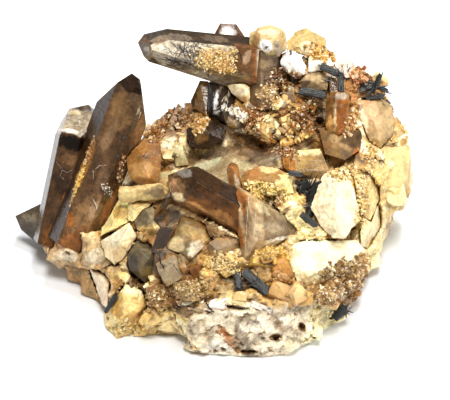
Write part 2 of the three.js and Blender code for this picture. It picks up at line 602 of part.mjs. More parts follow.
// Lumps on the display face: across and rise, then radii across, up and out, and how proud the lump stands.
const DEEP = -60;
const frontLumps = [
  [-50, -17, 5, 4, 4, 0.6], [-45.5, -22, 5, 4, 4, 0.6], [-41.5, -27.5, 4, 4, 4, 0.5],
  [-46, -13, 4, 4, 3, 0.8], [-40, -17.5, 4, 5, 3, 0.7], [-33, -21.5, 4, 3, 3, 0.8],
  [-21, -36, 4, 3, 4, 0.5], [-15, -36.5, 5, 4, 4, 0.3], [-19, -29.5, 5, 4, 3, 0.8],
  [-11.5, -28, 5, 4, 4, 0.7], [-13.5, -20.5, 5, 4, 3, 0.8], [-20, -24.5, 3, 3, 3, 0.8],
  [-4.5, -21.5, 4, 4, 3, 0.9], [1.5, -18.5, 3, 4, 3, 0.9], [-3, -27.5, 6, 3, 3, 0.8],
  [7, -21, 5, 4, 3, 0.9], [13, -17.5, 4, 4, 3, 0.8], [15, -24, 5, 3, 3, 0.9], [8, -28.5, 5, 3, 3, 0.8],
  [20, -29, 6, 3, 4, 0.6], [29, -28.5, 6, 3, 4, 0.7], [37, -24, 4, 5, 4, 0.7],
  [41, -19.5, 3, 4, 4, 0.7], [33, -33.5, 5, 4, 4, 0.5], [24, -34, 4, 3, 3, 0.1],
  [-18.5, 22, 4, 3, 4, 0.9], [-14.5, 24.5, 4, 4, 4, 1], [-22, 20, 4, 3, 4, 0.8],
  [-11.5, 27.5, 3, 4, 3, 0.9], [4, 25, 4, 4, 4, 0.9], [9.5, 27, 4, 5, 4, 1], [10, 20, 5, 4, 4, 1],
  [17, 27, 4, 4, 4, 0.9], [16, 19.5, 5, 3, 3, 1], [22.5, 25, 4, 5, 4, 0.9], [24, 18.5, 4, 3, 3, 0.8],
  [38, 28.5, 3, 5, 4, 0.9], [40.5, 37.5, 3.4, 3, 3, 0.9], [45.5, 33, 4, 4, 4, 0.6],
  [49, 17, 4, 4, 4, 0.7], [53, 13.5, 3, 4, 4, 0.8], [45, 13, 4, 4, 3, 0.9], [38, 12.5, 3, 4, 3, 0.8],
  [53, -2, 4, 4, 4, 0.6], [53.5, 2.5, 4, 4, 4, 0.7], [44, -12, 3, 4, 3, 0.6], [-6, 9.5, 6, 3, 3, 0.6],
  [8, 14, 6, 3, 3, 0.6], [-26, -4, 4, 4, 3, 0.8], [-14, -2.5, 5, 3, 3, 0.8], [0, -41, 7, 4, 2, 0.35],
  [-9, -43, 4, 6, 2, 0.35], [10, -47, 7, 4, 2, 0.3], [19, -41, 5, 5, 2, 0.3], [26, -38, 4, 5, 2, 0.3],
];

// Broken blocks round the sides and the back, where nothing else grows: turn from the right towards the
// back, height, then width, height and depth.
const backLumps = [
  [6, 22, 6, 6, 3], [14, 6, 8, 6, 4], [20, 32, 6, 5, 2], [30, 14, 9, 8, 5], [38, 38, 7, 6, 2],
  [46, 6, 8, 6, 4], [50, 24, 9, 8, 4], [60, 44, 8, 7, 5], [66, 10, 9, 8, 4], [72, 30, 8, 9, 4],
  [80, 50, 8, 6, 4], [86, 6, 8, 6, 4], [90, 22, 9, 8, 4], [98, 40, 8, 9, 4], [108, 12, 9, 8, 4],
  [114, 30, 7, 7, 4], [122, 4, 8, 5, 4], [130, 18, 8, 6, 4], [142, 8, 8, 6, 4], [154, 3, 7, 5, 4],
  [160, 11, 6, 5, 4], [172, 5, 6, 5, 4],
];
const BACK_MIDDLE = [2, 8];

// Pits in the pale front wall and hollows between the crystals: across, rise, out, then radii.
const pits = [
  [15.2, -40.6, 18.2, 1.6, 1.3, 3], [22.5, -37.8, 15.6, 1.2, 1.8, 2.6], [4, -42, 17.6, 3, 1.6, 2.4],
  [-1, -37.5, 19.4, 2.4, 1.4, 2], [10, -46, 15, 3.4, 1.2, 2.6], [-6, -33, 20, 4, 0.9, 3],
  [27.5, 25, -6, 3.4, 4.5, 6], [14, 1.4, 10, 2.2, 1.6, 3], [-17, 17.5, -8, 3.4, 2.6, 5],
  [6, 20, -3, 3, 2, 4],
];

const UNDERSIDE = { normal: new THREE.Vector3(0, 0, -1), offset: 0 };
const aboveTheTable = (faces) => [...faces, UNDERSIDE];

function lumpOnFront([across, rise, width, height, depth, proud], i) {
  const start = onFace([across, rise, DEEP]);
  const out = DEEP + reach(start, OUT_OF_FACE) - depth * (1 - proud);
  return lump([across, rise, out], [width, height, depth], 11 + i);
}

function lumpOnBack([turn, height, width, tall, depth], i) {
  const angle = THREE.MathUtils.degToRad(turn);
  const away = new THREE.Vector3(Math.cos(angle), Math.sin(angle), 0);
  const start = new THREE.Vector3(...BACK_MIDDLE, height);
  const middle = start.addScaledVector(away, reach(start, away) - depth * 0.4);
  const sideways = new THREE.Vector3(-away.y, away.x, 0);
  const random = randomFrom(500 + i);
  const points = [];
  for (let corner = 0; corner < 8; corner++) {
    const [u, v, w] = [1, 2, 4].map((bit) => (corner & bit ? 1 : -1));
    const [p, q, r] = [0.55 + 0.45 * random(), 0.5 + 0.5 * random(), 0.6 + 0.4 * random()];
    points.push(
      middle
        .clone()
        .addScaledVector(sideways, u * p * width)
        .addScaledVector(away, w * r * depth)
        .add(new THREE.Vector3(0, 0, v * q * tall)),
    );
  }
  return facesAround(points);
}

function buildRock() {
  const chunks = [...rock, ...frontLumps.map(lumpOnFront), ...backLumps.map(lumpOnBack)];
  let solid = wasm.Manifold.union(chunks.map((faces) => convexSolid(aboveTheTable(faces))));
  pits.forEach(([across, rise, out, ...radii], i) => {
    solid = solid.subtract(convexSolid(lump([across, rise, out], radii, 90 + i)));
  });
  for (const { faces } of crystals) solid = solid.subtract(convexSolid(aboveTheTable(faces), GAP));
  return largestBody(solid);
}

function buildCrystal({ faces }, earlier) {
  const whole = convexSolid(aboveTheTable(faces));
  const cut = (solid, other) => solid.subtract(convexSolid(other.faces, GAP));
  return largestBody(earlier.reduce(cut, whole));
}

function addMesh(group, name, finish, solid) {
  const mesh = new THREE.Mesh(geometryOf(solid), new THREE.MeshStandardMaterial(finish));
  mesh.name = name;
  group.add(mesh);
}

const cluster = new THREE.Group();
cluster.name = "quartz_and_aegirine_cluster";
addMesh(cluster, "matrix", ROCK, buildRock());
crystals.forEach((crystal, i) => {
  addMesh(cluster, crystal.name, crystal.finish, buildCrystal(crystal, crystals.slice(0, i)));
});

export default cluster;
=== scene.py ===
"""Looks of a hand-sized cluster of smoky quartz, feldspar and aegirine on drusy pegmatite rock.

The part's frame holds: metres, +Z up, +X to the right of the display face and -Y towards the front. The display
face leans back, and places on it are given in millimetres as across (to the right), rise (up the face) and out.
"""

import json
import math
from collections import namedtuple

import bmesh
import bpy
import numpy as np
from bpy.props import FloatProperty, FloatVectorProperty, PointerProperty
from mathutils import Matrix, Vector, noise
from mathutils.bvhtree import BVHTree

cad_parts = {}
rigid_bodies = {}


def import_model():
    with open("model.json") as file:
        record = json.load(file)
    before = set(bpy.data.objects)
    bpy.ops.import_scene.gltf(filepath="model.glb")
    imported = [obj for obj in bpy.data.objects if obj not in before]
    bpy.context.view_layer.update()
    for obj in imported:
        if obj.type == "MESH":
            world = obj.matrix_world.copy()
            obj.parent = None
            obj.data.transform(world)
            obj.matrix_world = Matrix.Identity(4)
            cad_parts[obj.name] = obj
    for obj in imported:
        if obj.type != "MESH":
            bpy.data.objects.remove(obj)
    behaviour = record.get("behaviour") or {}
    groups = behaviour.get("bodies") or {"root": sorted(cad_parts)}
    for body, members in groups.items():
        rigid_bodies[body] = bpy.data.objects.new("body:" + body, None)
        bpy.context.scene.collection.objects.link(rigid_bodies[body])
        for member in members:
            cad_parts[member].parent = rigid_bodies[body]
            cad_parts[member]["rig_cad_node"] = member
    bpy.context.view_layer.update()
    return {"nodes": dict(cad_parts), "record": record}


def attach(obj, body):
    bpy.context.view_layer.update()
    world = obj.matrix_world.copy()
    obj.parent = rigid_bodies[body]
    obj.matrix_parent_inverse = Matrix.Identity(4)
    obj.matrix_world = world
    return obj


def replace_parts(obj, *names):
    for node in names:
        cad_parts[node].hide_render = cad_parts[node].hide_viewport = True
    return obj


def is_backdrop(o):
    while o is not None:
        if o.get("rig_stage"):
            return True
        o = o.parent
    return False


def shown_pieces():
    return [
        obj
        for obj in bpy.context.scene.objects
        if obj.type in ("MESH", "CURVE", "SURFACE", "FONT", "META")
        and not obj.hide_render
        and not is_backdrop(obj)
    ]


bl_info = {
    "name": "Smoky Quartz Cluster",
    "version": (1, 0, 0),
    "blender": (4, 5, 0),
    "location": "3D View > Sidebar > Quartz Cluster",
    "description": "Finishes a cluster of smoky quartz, feldspar and aegirine on its rock",
    "category": "Add Mesh",
}

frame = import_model()
NODES = frame["nodes"]
SUBPARTS = frame["record"]["subparts"]

MM = 0.001
FACE_LEAN = math.radians(38)
FACE_MIDDLE = np.array((0.0, -2.0, 30.0))
UP_FACE = np.array((0.0, math.sin(FACE_LEAN), math.cos(FACE_LEAN)))
OUT_OF_FACE = np.array((0.0, -math.cos(FACE_LEAN), math.sin(FACE_LEAN)))
FAR_OUT = 90  # clear of the cluster in front of its display face, in millimetres
FACE_TURN = Matrix(((1, 0, 0), tuple(UP_FACE), tuple(OUT_OF_FACE))).transposed().to_4x4()

# A soft-edged oval of colour on the display face: its middle, half sizes, colour, turn (degrees, anticlockwise), how
# strong it is, and how cloudy it makes a crystal (0 clear, 1 opaque).
Zone = namedtuple("Zone", "across rise wide high colour turn strength cloud", defaults=(0.0, 1.0, 0.5))
# A soft-edged oval without a colour.
Area = namedtuple("Area", "across rise wide high turn strength", defaults=(0.0, 1.0))
# A hole or groove that goes into the rock along the display direction, in millimetres.
Hole = namedtuple("Hole", "across rise wide high depth turn", defaults=(0.0,))
# A block that sits on the rock: its middle, width, height and depth in millimetres, turn and colour.
Block = namedtuple("Block", "across rise wide high deep turn colour", defaults=("#E6CF9C",))
# A patch of small crystals: its oval, how many there are, their widths in millimetres and their colour.
Patch = namedtuple("Patch", "across rise wide high turn count small large colour")
# A flat face of a crystal, named by a place where it is seen, with its colour and how cloudy it is.
# Its colour holds the painted light and shade of that face.
Facet = namedtuple("Facet", "across rise colour cloud")
# A flat-sided area of colour inside a crystal, named by its corners on the display face, clockwise.
# It is partly a painted reflection of the crystal's inner faces.
Panel = namedtuple("Panel", "colour cloud corners")
# A thin line that lies on the surface: its width in millimetres and the places that it runs through.
Streak = namedtuple("Streak", "wide places")
# A spray of needles: its middle, how deep it lies, how many, how long and how thick they are in millimetres.
Spray = namedtuple("Spray", "across rise deep count long thick")


def linear(hex_colour):
    """A linear RGBA colour from an sRGB hex value."""
    parts = [int(hex_colour[i : i + 2], 16) / 255 for i in (1, 3, 5)]
    return tuple(c / 12.92 if c <= 0.04045 else ((c + 0.055) / 1.055) ** 2.4 for c in parts) + (1.0,)


def on_face(across, rise, out):
    """A point in metres from its place on the display face in millimetres."""
    place = FACE_MIDDLE + np.array((across, 0.0, 0.0)) + rise * UP_FACE + out * OUT_OF_FACE
    return Vector(place * MM)


def face_places(points):
    """Across and rise of points in millimetres."""
    away = points / MM - FACE_MIDDLE
    return away[:, 0], away @ UP_FACE


# ---- noise ----


def crumbs_at(points, size, seed):
    """Lumps of that size in millimetres with smaller lumps on them, about -1 to 1. Each seed gives other lumps."""
    return np.array([noise.fractal(Vector(p), 0.7, 2.1, 4) for p in points / (size * MM) + seed])


# Where each direction of a grain's tilt reads the noise.
GRAIN_STARTS = [Vector((9.3, -1.5, -7.9)), Vector((0.4, 0.2, 0.7)), Vector((-6.1, 3.7, 2.3))]


def grains_at(points, size, seed):
    """A surface broken into flat tilted grains of that size in millimetres: the heights, about -1 to 1, and one
    random value from 0 to 1 for each whole grain."""
    heights, shades = [], []
    for p in points / (size * MM) + seed:
        middle = noise.voronoi(Vector(p))[1][0]
        tilt = Vector([noise.noise(middle * 9.7 + start) for start in GRAIN_STARTS])
        heights.append((Vector(p) - middle).dot(tilt.normalized()) * 1.6)
        shades.append(tilt.x * 47.0 % 1.0)
    return np.array(heights), np.array(shades)


# ---- pieces ----


def new_piece(name, mesh, material):
    """Puts a finished mesh in the scene as a piece that rides with the cluster, nothing of it below the table."""
    points = points_of(mesh)
    points[:, 2] = np.maximum(points[:, 2], 0)
    set_points(mesh, points)
    piece = bpy.data.objects.new(name, mesh)
    bpy.context.scene.collection.objects.link(piece)
    mesh.materials.clear()
    mesh.materials.append(material)
    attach(piece, "root")
    return piece


def merged_copy(node):
    """A bmesh of a CAD node with its doubled corners merged."""
    bm = bmesh.new()
    bm.from_mesh(NODES[node].data)
    bmesh.ops.remove_doubles(bm, verts=bm.verts, dist=1e-6)
    return bm


def finished_mesh(bm, name, smooth_angle=None):
    """Turns a bmesh into a mesh, smooth across edges that are blunter than smooth_angle."""
    mesh = bpy.data.meshes.new(name)
    bm.to_mesh(mesh)
    bm.free()
    if smooth_angle is not None:
        mesh.shade_smooth()
        mesh.set_sharp_from_angle(angle=math.radians(smooth_angle))
    return mesh


def even_mesh(mesh, voxel):
    """The same shape in small even faces, voxel millimetres wide."""
    carrier = bpy.data.objects.new("carrier", mesh)
    bpy.context.scene.collection.objects.link(carrier)
    remesh = carrier.modifiers.new("even faces", "REMESH")
    remesh.mode = "VOXEL"
    remesh.voxel_size = voxel * MM
    depsgraph = bpy.context.evaluated_depsgraph_get()
    even = bpy.data.meshes.new_from_object(carrier.evaluated_get(depsgraph))
    bpy.data.objects.remove(carrier)
    bpy.data.meshes.remove(mesh)
    return even


def points_of(mesh):
    """The mesh's points as rows."""
    flat = np.empty(len(mesh.vertices) * 3)
    mesh.vertices.foreach_get("co", flat)
    return flat.reshape(-1, 3)


def normals_of(mesh):
    """The normals at the mesh's points."""
    flat = np.empty(len(mesh.vertices) * 3)
    mesh.vertex_normals.foreach_get("vector", flat)
    return flat.reshape(-1, 3)


def pour(bm, whole):
    """Moves one bmesh into another, since a large one is slow to build on."""
    lump = finished_mesh(bm, "lump")
    whole.from_mesh(lump)
    bpy.data.meshes.remove(lump)


def wear_edges(bm, width):
    """Cuts all edges back by a width."""
    bmesh.ops.bevel(
        bm, geom=bm.edges[:], offset=width, segments=1, profile=0.5, affect="EDGES", material=-1, clamp_overlap=True
    )


def set_points(mesh, points):
    """Moves the mesh's points."""
    mesh.vertices.foreach_set("co", points.ravel())
    mesh.update()


# What is stored at the points of a mesh: the kind of each value, and the field that holds it.
ATTRIBUTES = {"tint": ("FLOAT_COLOR", "color"), "cloud": ("FLOAT", "value"), "growth": ("FLOAT_VECTOR", "vector")}


def set_attribute(mesh, name, values):
    """Stores one value for each point under a name that materials read."""
    kind, field = ATTRIBUTES[name]
    attribute = mesh.attributes.get(name) or mesh.attributes.new(name, kind, "POINT")
    attribute.data.foreach_set(field, np.asarray(values, np.float32).ravel())


def tints_of(mesh):
    """The colours stored on a mesh."""
    flat = np.empty(len(mesh.vertices) * 4, np.float32)
    mesh.attributes["tint"].data.foreach_get("color", flat)
    return flat.reshape(-1, 4)


def hollows_of(mesh, points, rounds):
    """How far each point lies below (+) or above (-) its surroundings in millimetres, where these are the mesh
    smoothed that many times."""
    pairs = np.empty(len(mesh.edges) * 2, np.int64)
    mesh.edges.foreach_get("vertices", pairs)
    a, b = pairs[0::2], pairs[1::2]
    count = np.bincount(a, minlength=len(points)) + np.bincount(b, minlength=len(points))
    smooth = points.copy()
    for _ in range(rounds):
        total = np.zeros_like(smooth)
        for axis in range(3):
            total[:, axis] = np.bincount(a, smooth[b, axis], len(points))
            total[:, axis] += np.bincount(b, smooth[a, axis], len(points))
        smooth = 0.5 * smooth + 0.5 * total / np.maximum(count, 1)[:, None]
    return np.einsum("ij,ij->i", smooth - points, normals_of(mesh)) / MM


def growth_frame(points):
    """Points in millimetres in the piece's own directions, its length along z."""
    away = points - points.mean(0)
    directions = np.linalg.eigh(away.T @ away)[1]
    return away @ directions / MM


# ---- colour ----


def oval_distance(points, oval):
    """Distance of points from the middle of an oval on the display face, 1 on its edge."""
    across, rise = face_places(points)
    turn = math.radians(oval.turn)
    right, up = across - oval.across, rise - oval.rise
    along = (right * math.cos(turn) + up * math.sin(turn)) / oval.wide
    beside = (up * math.cos(turn) - right * math.sin(turn)) / oval.high
    return np.hypot(along, beside)


def zone_share(points, zone, ragged=0):
    """How far each point belongs to a zone, from 0 to its strength. ragged moves its edge in or out."""
    return np.clip((1.1 - oval_distance(points, zone) - ragged) / 0.2, 0, 1) * zone.strength


def any_share(points, areas):
    """How far each point belongs to any of some areas."""
    return np.max([zone_share(points, area) for area in areas], axis=0)


def panel_share(points, panel):
    """How far each point belongs to a panel, from 0 outside it to 1 inside it."""
    across, rise = face_places(points)
    share = np.ones(len(points))
    corners = panel.corners
    for one, other in zip(corners, corners[1:] + corners[:1]):
        along, up = other[0] - one[0], other[1] - one[1]
        inside = ((across - one[0]) * up - (rise - one[1]) * along) / math.hypot(along, up)
        share = np.minimum(share, np.clip(0.5 + inside / 0.5, 0, 1))
    return share[:, None]


def laid_over(points, values, zones, shade, ragged_size):
    """Values at points with zones laid over them in turn, their edges ragged by lumps of that size in millimetres.
    shade gives a zone's own value."""
    edge = crumbs_at(points, ragged_size, 3.7) * 0.3
    for zone in zones:
        share = zone_share(points, zone, edge)[:, None]
        values = values * (1 - share) + shade(zone) * share
    return values


def zone_colour(zone):
    """The colour of a zone, face or panel as a row."""
    return np.array(linear(zone.colour))


def tinted(points, base, zones):
    """The colour of each point: the base colour with the zones laid over it in turn."""
    return laid_over(points, np.tile(np.array(linear(base)), (len(points), 1)), zones, zone_colour, 2.5)


def toned(colours, tone):
    """Colours made lighter or darker, tone 1 leaving them as they are."""
    changed = colours.copy()
    changed[:, :3] = np.clip(colours[:, :3] * np.asarray(tone)[:, None], 0, 1)
    return changed


def mottled(points, colours, strength):
    """Colours with paler and darker clouds of three sizes."""
    clouds = crumbs_at(points, 6.0, 71.0) * 0.45 + crumbs_at(points, 2.4, 73.0) * 0.4
    return toned(colours, 1 + strength * (clouds + crumbs_at(points, 1.0, 79.0) * 0.25))


def blended(colours, other, share):
    """Colours moved towards another by a share for each point."""
    share = np.clip(np.asarray(share), 0, 1)[:, None]
    return colours * (1 - share) + np.array(other) * share


# ---- materials ----


def add_node(tree, kind, sockets=(), **settings):
    """Adds a node with its settings. Each socket gets a value, or a link from an output or a node's first output."""
    node = tree.nodes.new(kind)
    for name, value in settings.items():
        setattr(node, name, value)
    for name, value in dict(sockets).items():
        source = value.outputs[0] if isinstance(value, bpy.types.Node) else value
        if isinstance(source, bpy.types.NodeSocket):
            tree.links.new(source, node.inputs[name])
        else:
            node.inputs[name].default_value = source
    return node


def new_material(name):
    """An empty node material and its tree."""
    material = bpy.data.materials.new(name)
    material.use_nodes = True
    material.node_tree.nodes.clear()
    return material, material.node_tree


def varied_tint(tree, place, size, low, high):
    """The piece's own tint, made lighter and darker by noise of that size in millimetres."""
    tint = add_node(tree, "ShaderNodeAttribute", attribute_name="tint").outputs["Color"]
    speckle = add_node(
        tree, "ShaderNodeTexNoise", {"Vector": place, "Scale": 1 / (size * MM), "Detail": 4.0, "Roughness": 0.6}
    )
    tone = add_node(tree, "ShaderNodeMapRange", {"Value": speckle, 1: 0.3, 2: 0.7, 3: low, 4: high})
    return add_node(tree, "ShaderNodeVectorMath", {0: tint, "Scale": tone}, operation="SCALE")


def rock_material():
    """Weathered pegmatite: earthy and matt, with fine grit and small pits that catch shadow."""
    material, tree = new_material("weathered_pegmatite")
    place = add_node(tree, "ShaderNodeTexCoord").outputs["Object"]
    colour = varied_tint(tree, place, 0.7, 0.6, 1.24)
    grit = add_node(
        tree, "ShaderNodeTexNoise", {"Vector": place, "Scale": 1 / (0.6 * MM), "Detail": 6.0, "Roughness": 0.7}
    )
    bump = add_node(tree, "ShaderNodeBump", {"Height": grit, "Strength": 0.7, "Distance": 0.3 * MM})
    rough = add_node(tree, "ShaderNodeMapRange", {"Value": grit, 1: 0.3, 2: 0.7, 3: 0.45, 4: 0.8})
    shader = add_node(tree, "ShaderNodeBsdfPrincipled", {"Base Color": colour, "Roughness": rough, "Normal": bump})
    add_node(tree, "ShaderNodeOutputMaterial", {"Surface": shader})
    return material


def druse_material():
    """Tiny quartz crystals with iron stain: glassy faces that glint."""
    material, tree = new_material("drusy_quartz")
    place = add_node(tree, "ShaderNodeTexCoord").outputs["Object"]
    colour = varied_tint(tree, place, 0.6, 0.8, 1.2)
    shader = add_node(
        tree,
        "ShaderNodeBsdfPrincipled",
        {"Base Color": colour, "Roughness": 0.3, "IOR": 1.54, "Transmission Weight": 0.1},
    )
    add_node(tree, "ShaderNodeOutputMaterial", {"Surface": shader})
    return material


def feldspar_material(name):
    """Cleaved feldspar: satin, a little light let in, fine steps along its cleavage."""
    material, tree = new_material(name)
    place = add_node(tree, "ShaderNodeTexCoord").outputs["Object"]
    colour = varied_tint(tree, place, 1.1, 0.72, 1.18)
    growth = add_node(tree, "ShaderNodeAttribute", attribute_name="growth").outputs["Vector"]
    squeezed = add_node(tree, "ShaderNodeVectorMath", {0: growth, 1: (1.6, 0.3, 0.3)}, operation="MULTIPLY")
    steps = add_node(tree, "ShaderNodeTexNoise", {"Vector": squeezed, "Scale": 1.0, "Detail": 4.0})
    grit = add_node(
        tree, "ShaderNodeTexNoise", {"Vector": place, "Scale": 1 / (0.8 * MM), "Detail": 6.0, "Roughness": 0.7}
    )
    height = add_node(tree, "ShaderNodeMath", {0: steps, 1: grit}, operation="ADD")
    shader = add_node(
        tree,
        "ShaderNodeBsdfPrincipled",
        {
            "Base Color": colour,
            "Roughness": add_node(tree, "ShaderNodeMapRange", {"Value": grit, 1: 0.3, 2: 0.7, 3: 0.25, 4: 0.6}),
            "IOR": 1.53,
            "Subsurface Weight": 0.15,
            "Subsurface Scale": 1.5 * MM,
            "Normal": add_node(tree, "ShaderNodeBump", {"Height": height, "Strength": 0.7, "Distance": 0.35 * MM}),
        },
    )
    add_node(tree, "ShaderNodeOutputMaterial", {"Surface": shader})
    return material


def quartz_material(name, smoke, density, polish, grease):
    """Clear to smoky quartz: see-through, browner the thicker it is. Fine lines run across and along its faces, and
    dark specks and paler veils lie in it."""
    material, tree = new_material(name)
    place = add_node(tree, "ShaderNodeTexCoord").outputs["Object"]
    tint = add_node(tree, "ShaderNodeAttribute", attribute_name="tint").outputs["Color"]
    cloud = add_node(tree, "ShaderNodeAttribute", attribute_name="cloud").outputs["Fac"]
    growth = add_node(tree, "ShaderNodeAttribute", attribute_name="growth").outputs["Vector"]
    across_length = add_node(tree, "ShaderNodeVectorMath", {0: growth, 1: (0.2, 0.2, 1.8)}, operation="MULTIPLY")
    lines = add_node(tree, "ShaderNodeTexNoise", {"Vector": across_length, "Scale": 1.0, "Detail": 4.0})
    etching = add_node(tree, "ShaderNodeTexNoise", {"Vector": place, "Scale": 1 / (1.6 * MM), "Detail": 5.0})
    height = add_node(tree, "ShaderNodeMath", {0: lines, 1: etching}, operation="ADD")
    rough = add_node(tree, "ShaderNodeMapRange", {"Value": etching, 1: 0.35, 2: 0.7, 3: polish, 4: grease})
    along_length = add_node(tree, "ShaderNodeVectorMath", {0: growth, 1: (0.6, 0.6, 0.2)}, operation="MULTIPLY")
    veils = add_node(
        tree, "ShaderNodeTexNoise", {"Vector": along_length, "Scale": 1.0, "Detail": 6.0, "Roughness": 0.7}
    )
    mottle = add_node(
        tree, "ShaderNodeTexNoise", {"Vector": place, "Scale": 1 / (1.8 * MM), "Detail": 6.0, "Roughness": 0.75}
    )
    both = add_node(tree, "ShaderNodeMath", {0: veils, 1: mottle}, operation="ADD")
    tone = add_node(tree, "ShaderNodeMapRange", {"Value": both, 1: 0.75, 2: 1.25, 3: 0.6, 4: 1.35})
    body = add_node(tree, "ShaderNodeVectorMath", {0: tint, "Scale": tone}, operation="SCALE")
    specks = add_node(tree, "ShaderNodeTexNoise", {"Vector": place, "Scale": 1 / (0.75 * MM), "Detail": 2.0})
    speck = add_node(tree, "ShaderNodeMapRange", {"Value": specks, 1: 0.62, 2: 0.72, 3: 0.0, 4: 0.75})
    colour = add_node(tree, "ShaderNodeMix", {0: speck, 6: body, 7: linear("#2A1A10")}, data_type="RGBA")
    haze = add_node(tree, "ShaderNodeMath", {0: cloud, 1: speck}, operation="MAXIMUM")
    shader = add_node(
        tree,
        "ShaderNodeBsdfPrincipled",
        {
            "Base Color": colour.outputs[2],
            "Roughness": rough,
            "IOR": 1.544,
            "Specular IOR Level": 0.25,
            "Transmission Weight": add_node(
                tree, "ShaderNodeMath", {0: 1.0, 1: haze}, operation="SUBTRACT", use_clamp=True
            ),
            "Normal": add_node(tree, "ShaderNodeBump", {"Height": height, "Strength": 0.5, "Distance": 0.25 * MM}),
        },
    )
    volume = add_node(tree, "ShaderNodeVolumeAbsorption", {"Color": smoke, "Density": density})
    add_node(tree, "ShaderNodeOutputMaterial", {"Surface": shader, "Volume": volume})
    return material


def aegirine_material():
    """Aegirine: black with a green cast, vitreous, scored along the length of its blades."""
    material, tree = new_material("aegirine")
    growth = add_node(tree, "ShaderNodeAttribute", attribute_name="growth").outputs["Vector"]
    squeezed = add_node(tree, "ShaderNodeVectorMath", {0: growth, 1: (3.0, 3.0, 0.25)}, operation="MULTIPLY")
    scores = add_node(tree, "ShaderNodeTexNoise", {"Vector": squeezed, "Scale": 1.0, "Detail": 4.0})
    colour = add_node(
        tree, "ShaderNodeMix", {0: scores, 6: linear("#020303"), 7: linear("#101614")}, data_type="RGBA"
    )
    shader = add_node(
        tree,
        "ShaderNodeBsdfPrincipled",
        {
            "Base Color": colour.outputs[2],
            "Roughness": add_node(tree, "ShaderNodeMapRange", {"Value": scores, 3: 0.35, 4: 0.6}),
            "IOR": 1.6,
            "Normal": add_node(tree, "ShaderNodeBump", {"Height": scores, "Strength": 1.0, "Distance": 0.4 * MM}),
        },
    )
    add_node(tree, "ShaderNodeOutputMaterial", {"Surface": shader})
    return material


def line_material(name, colour, rough):
    """A thin line: a pale healed crack or painted glint, a rusty seam, or a dark crack or painted slit shade."""
    material, tree = new_material(name)
    shader = add_node(
        tree, "ShaderNodeBsdfPrincipled", {"Base Color": linear(colour), "Roughness": rough, "IOR": 1.54}
    )
    add_node(tree, "ShaderNodeOutputMaterial", {"Surface": shader})
    return material


def table_material():
    """A sheet of matt white card."""
    material, tree = new_material("white_card")
    place = add_node(tree, "ShaderNodeTexCoord").outputs["Object"]
    fibre = add_node(tree, "ShaderNodeTexNoise", {"Vector": place, "Scale": 1 / (3 * MM), "Detail": 2.0})
    colour = add_node(
        tree, "ShaderNodeMix", {0: fibre, 6: linear("#EFF4FB"), 7: linear("#F4F8FF")}, data_type="RGBA"
    )
    shader = add_node(tree, "ShaderNodeBsdfPrincipled", {"Base Color": colour.outputs[2], "Roughness": 0.9})
    add_node(tree, "ShaderNodeOutputMaterial", {"Surface": shader})
    return material


# ---- the rock ----

WALL = Zone(12.0, -39.0, 25.0, 10.5, "#E9DCC0")  # the white pitted wall at the foot
SLOPE = Zone(1.8, 10.8, 14.0, 6.0, "#8E7854")  # the smooth greenish slope
FLANK = Zone(-45.0, -20.0, 13.0, 11.0, "#AC8C60")  # the brown lower left flank
# Its darkness is partly iron stain and partly painted shade under the crown and between its rods.
CROWN_GROUND = Zone(17.0, 22.0, 14.0, 11.0, "#3E210E")  # dark iron-stained rock under the crown
# Where the rock is smooth rather than grainy.
CALM_AREAS = [
    Area(-45, -20, 13, 11, 0, 0.7),
    Area(46, 2, 12, 22, 0, 0.7),
    Area(6, 16, 8, 3, -47, 0.7),
    Area(-17, -8, 6, 12, 0, 0.7),
]
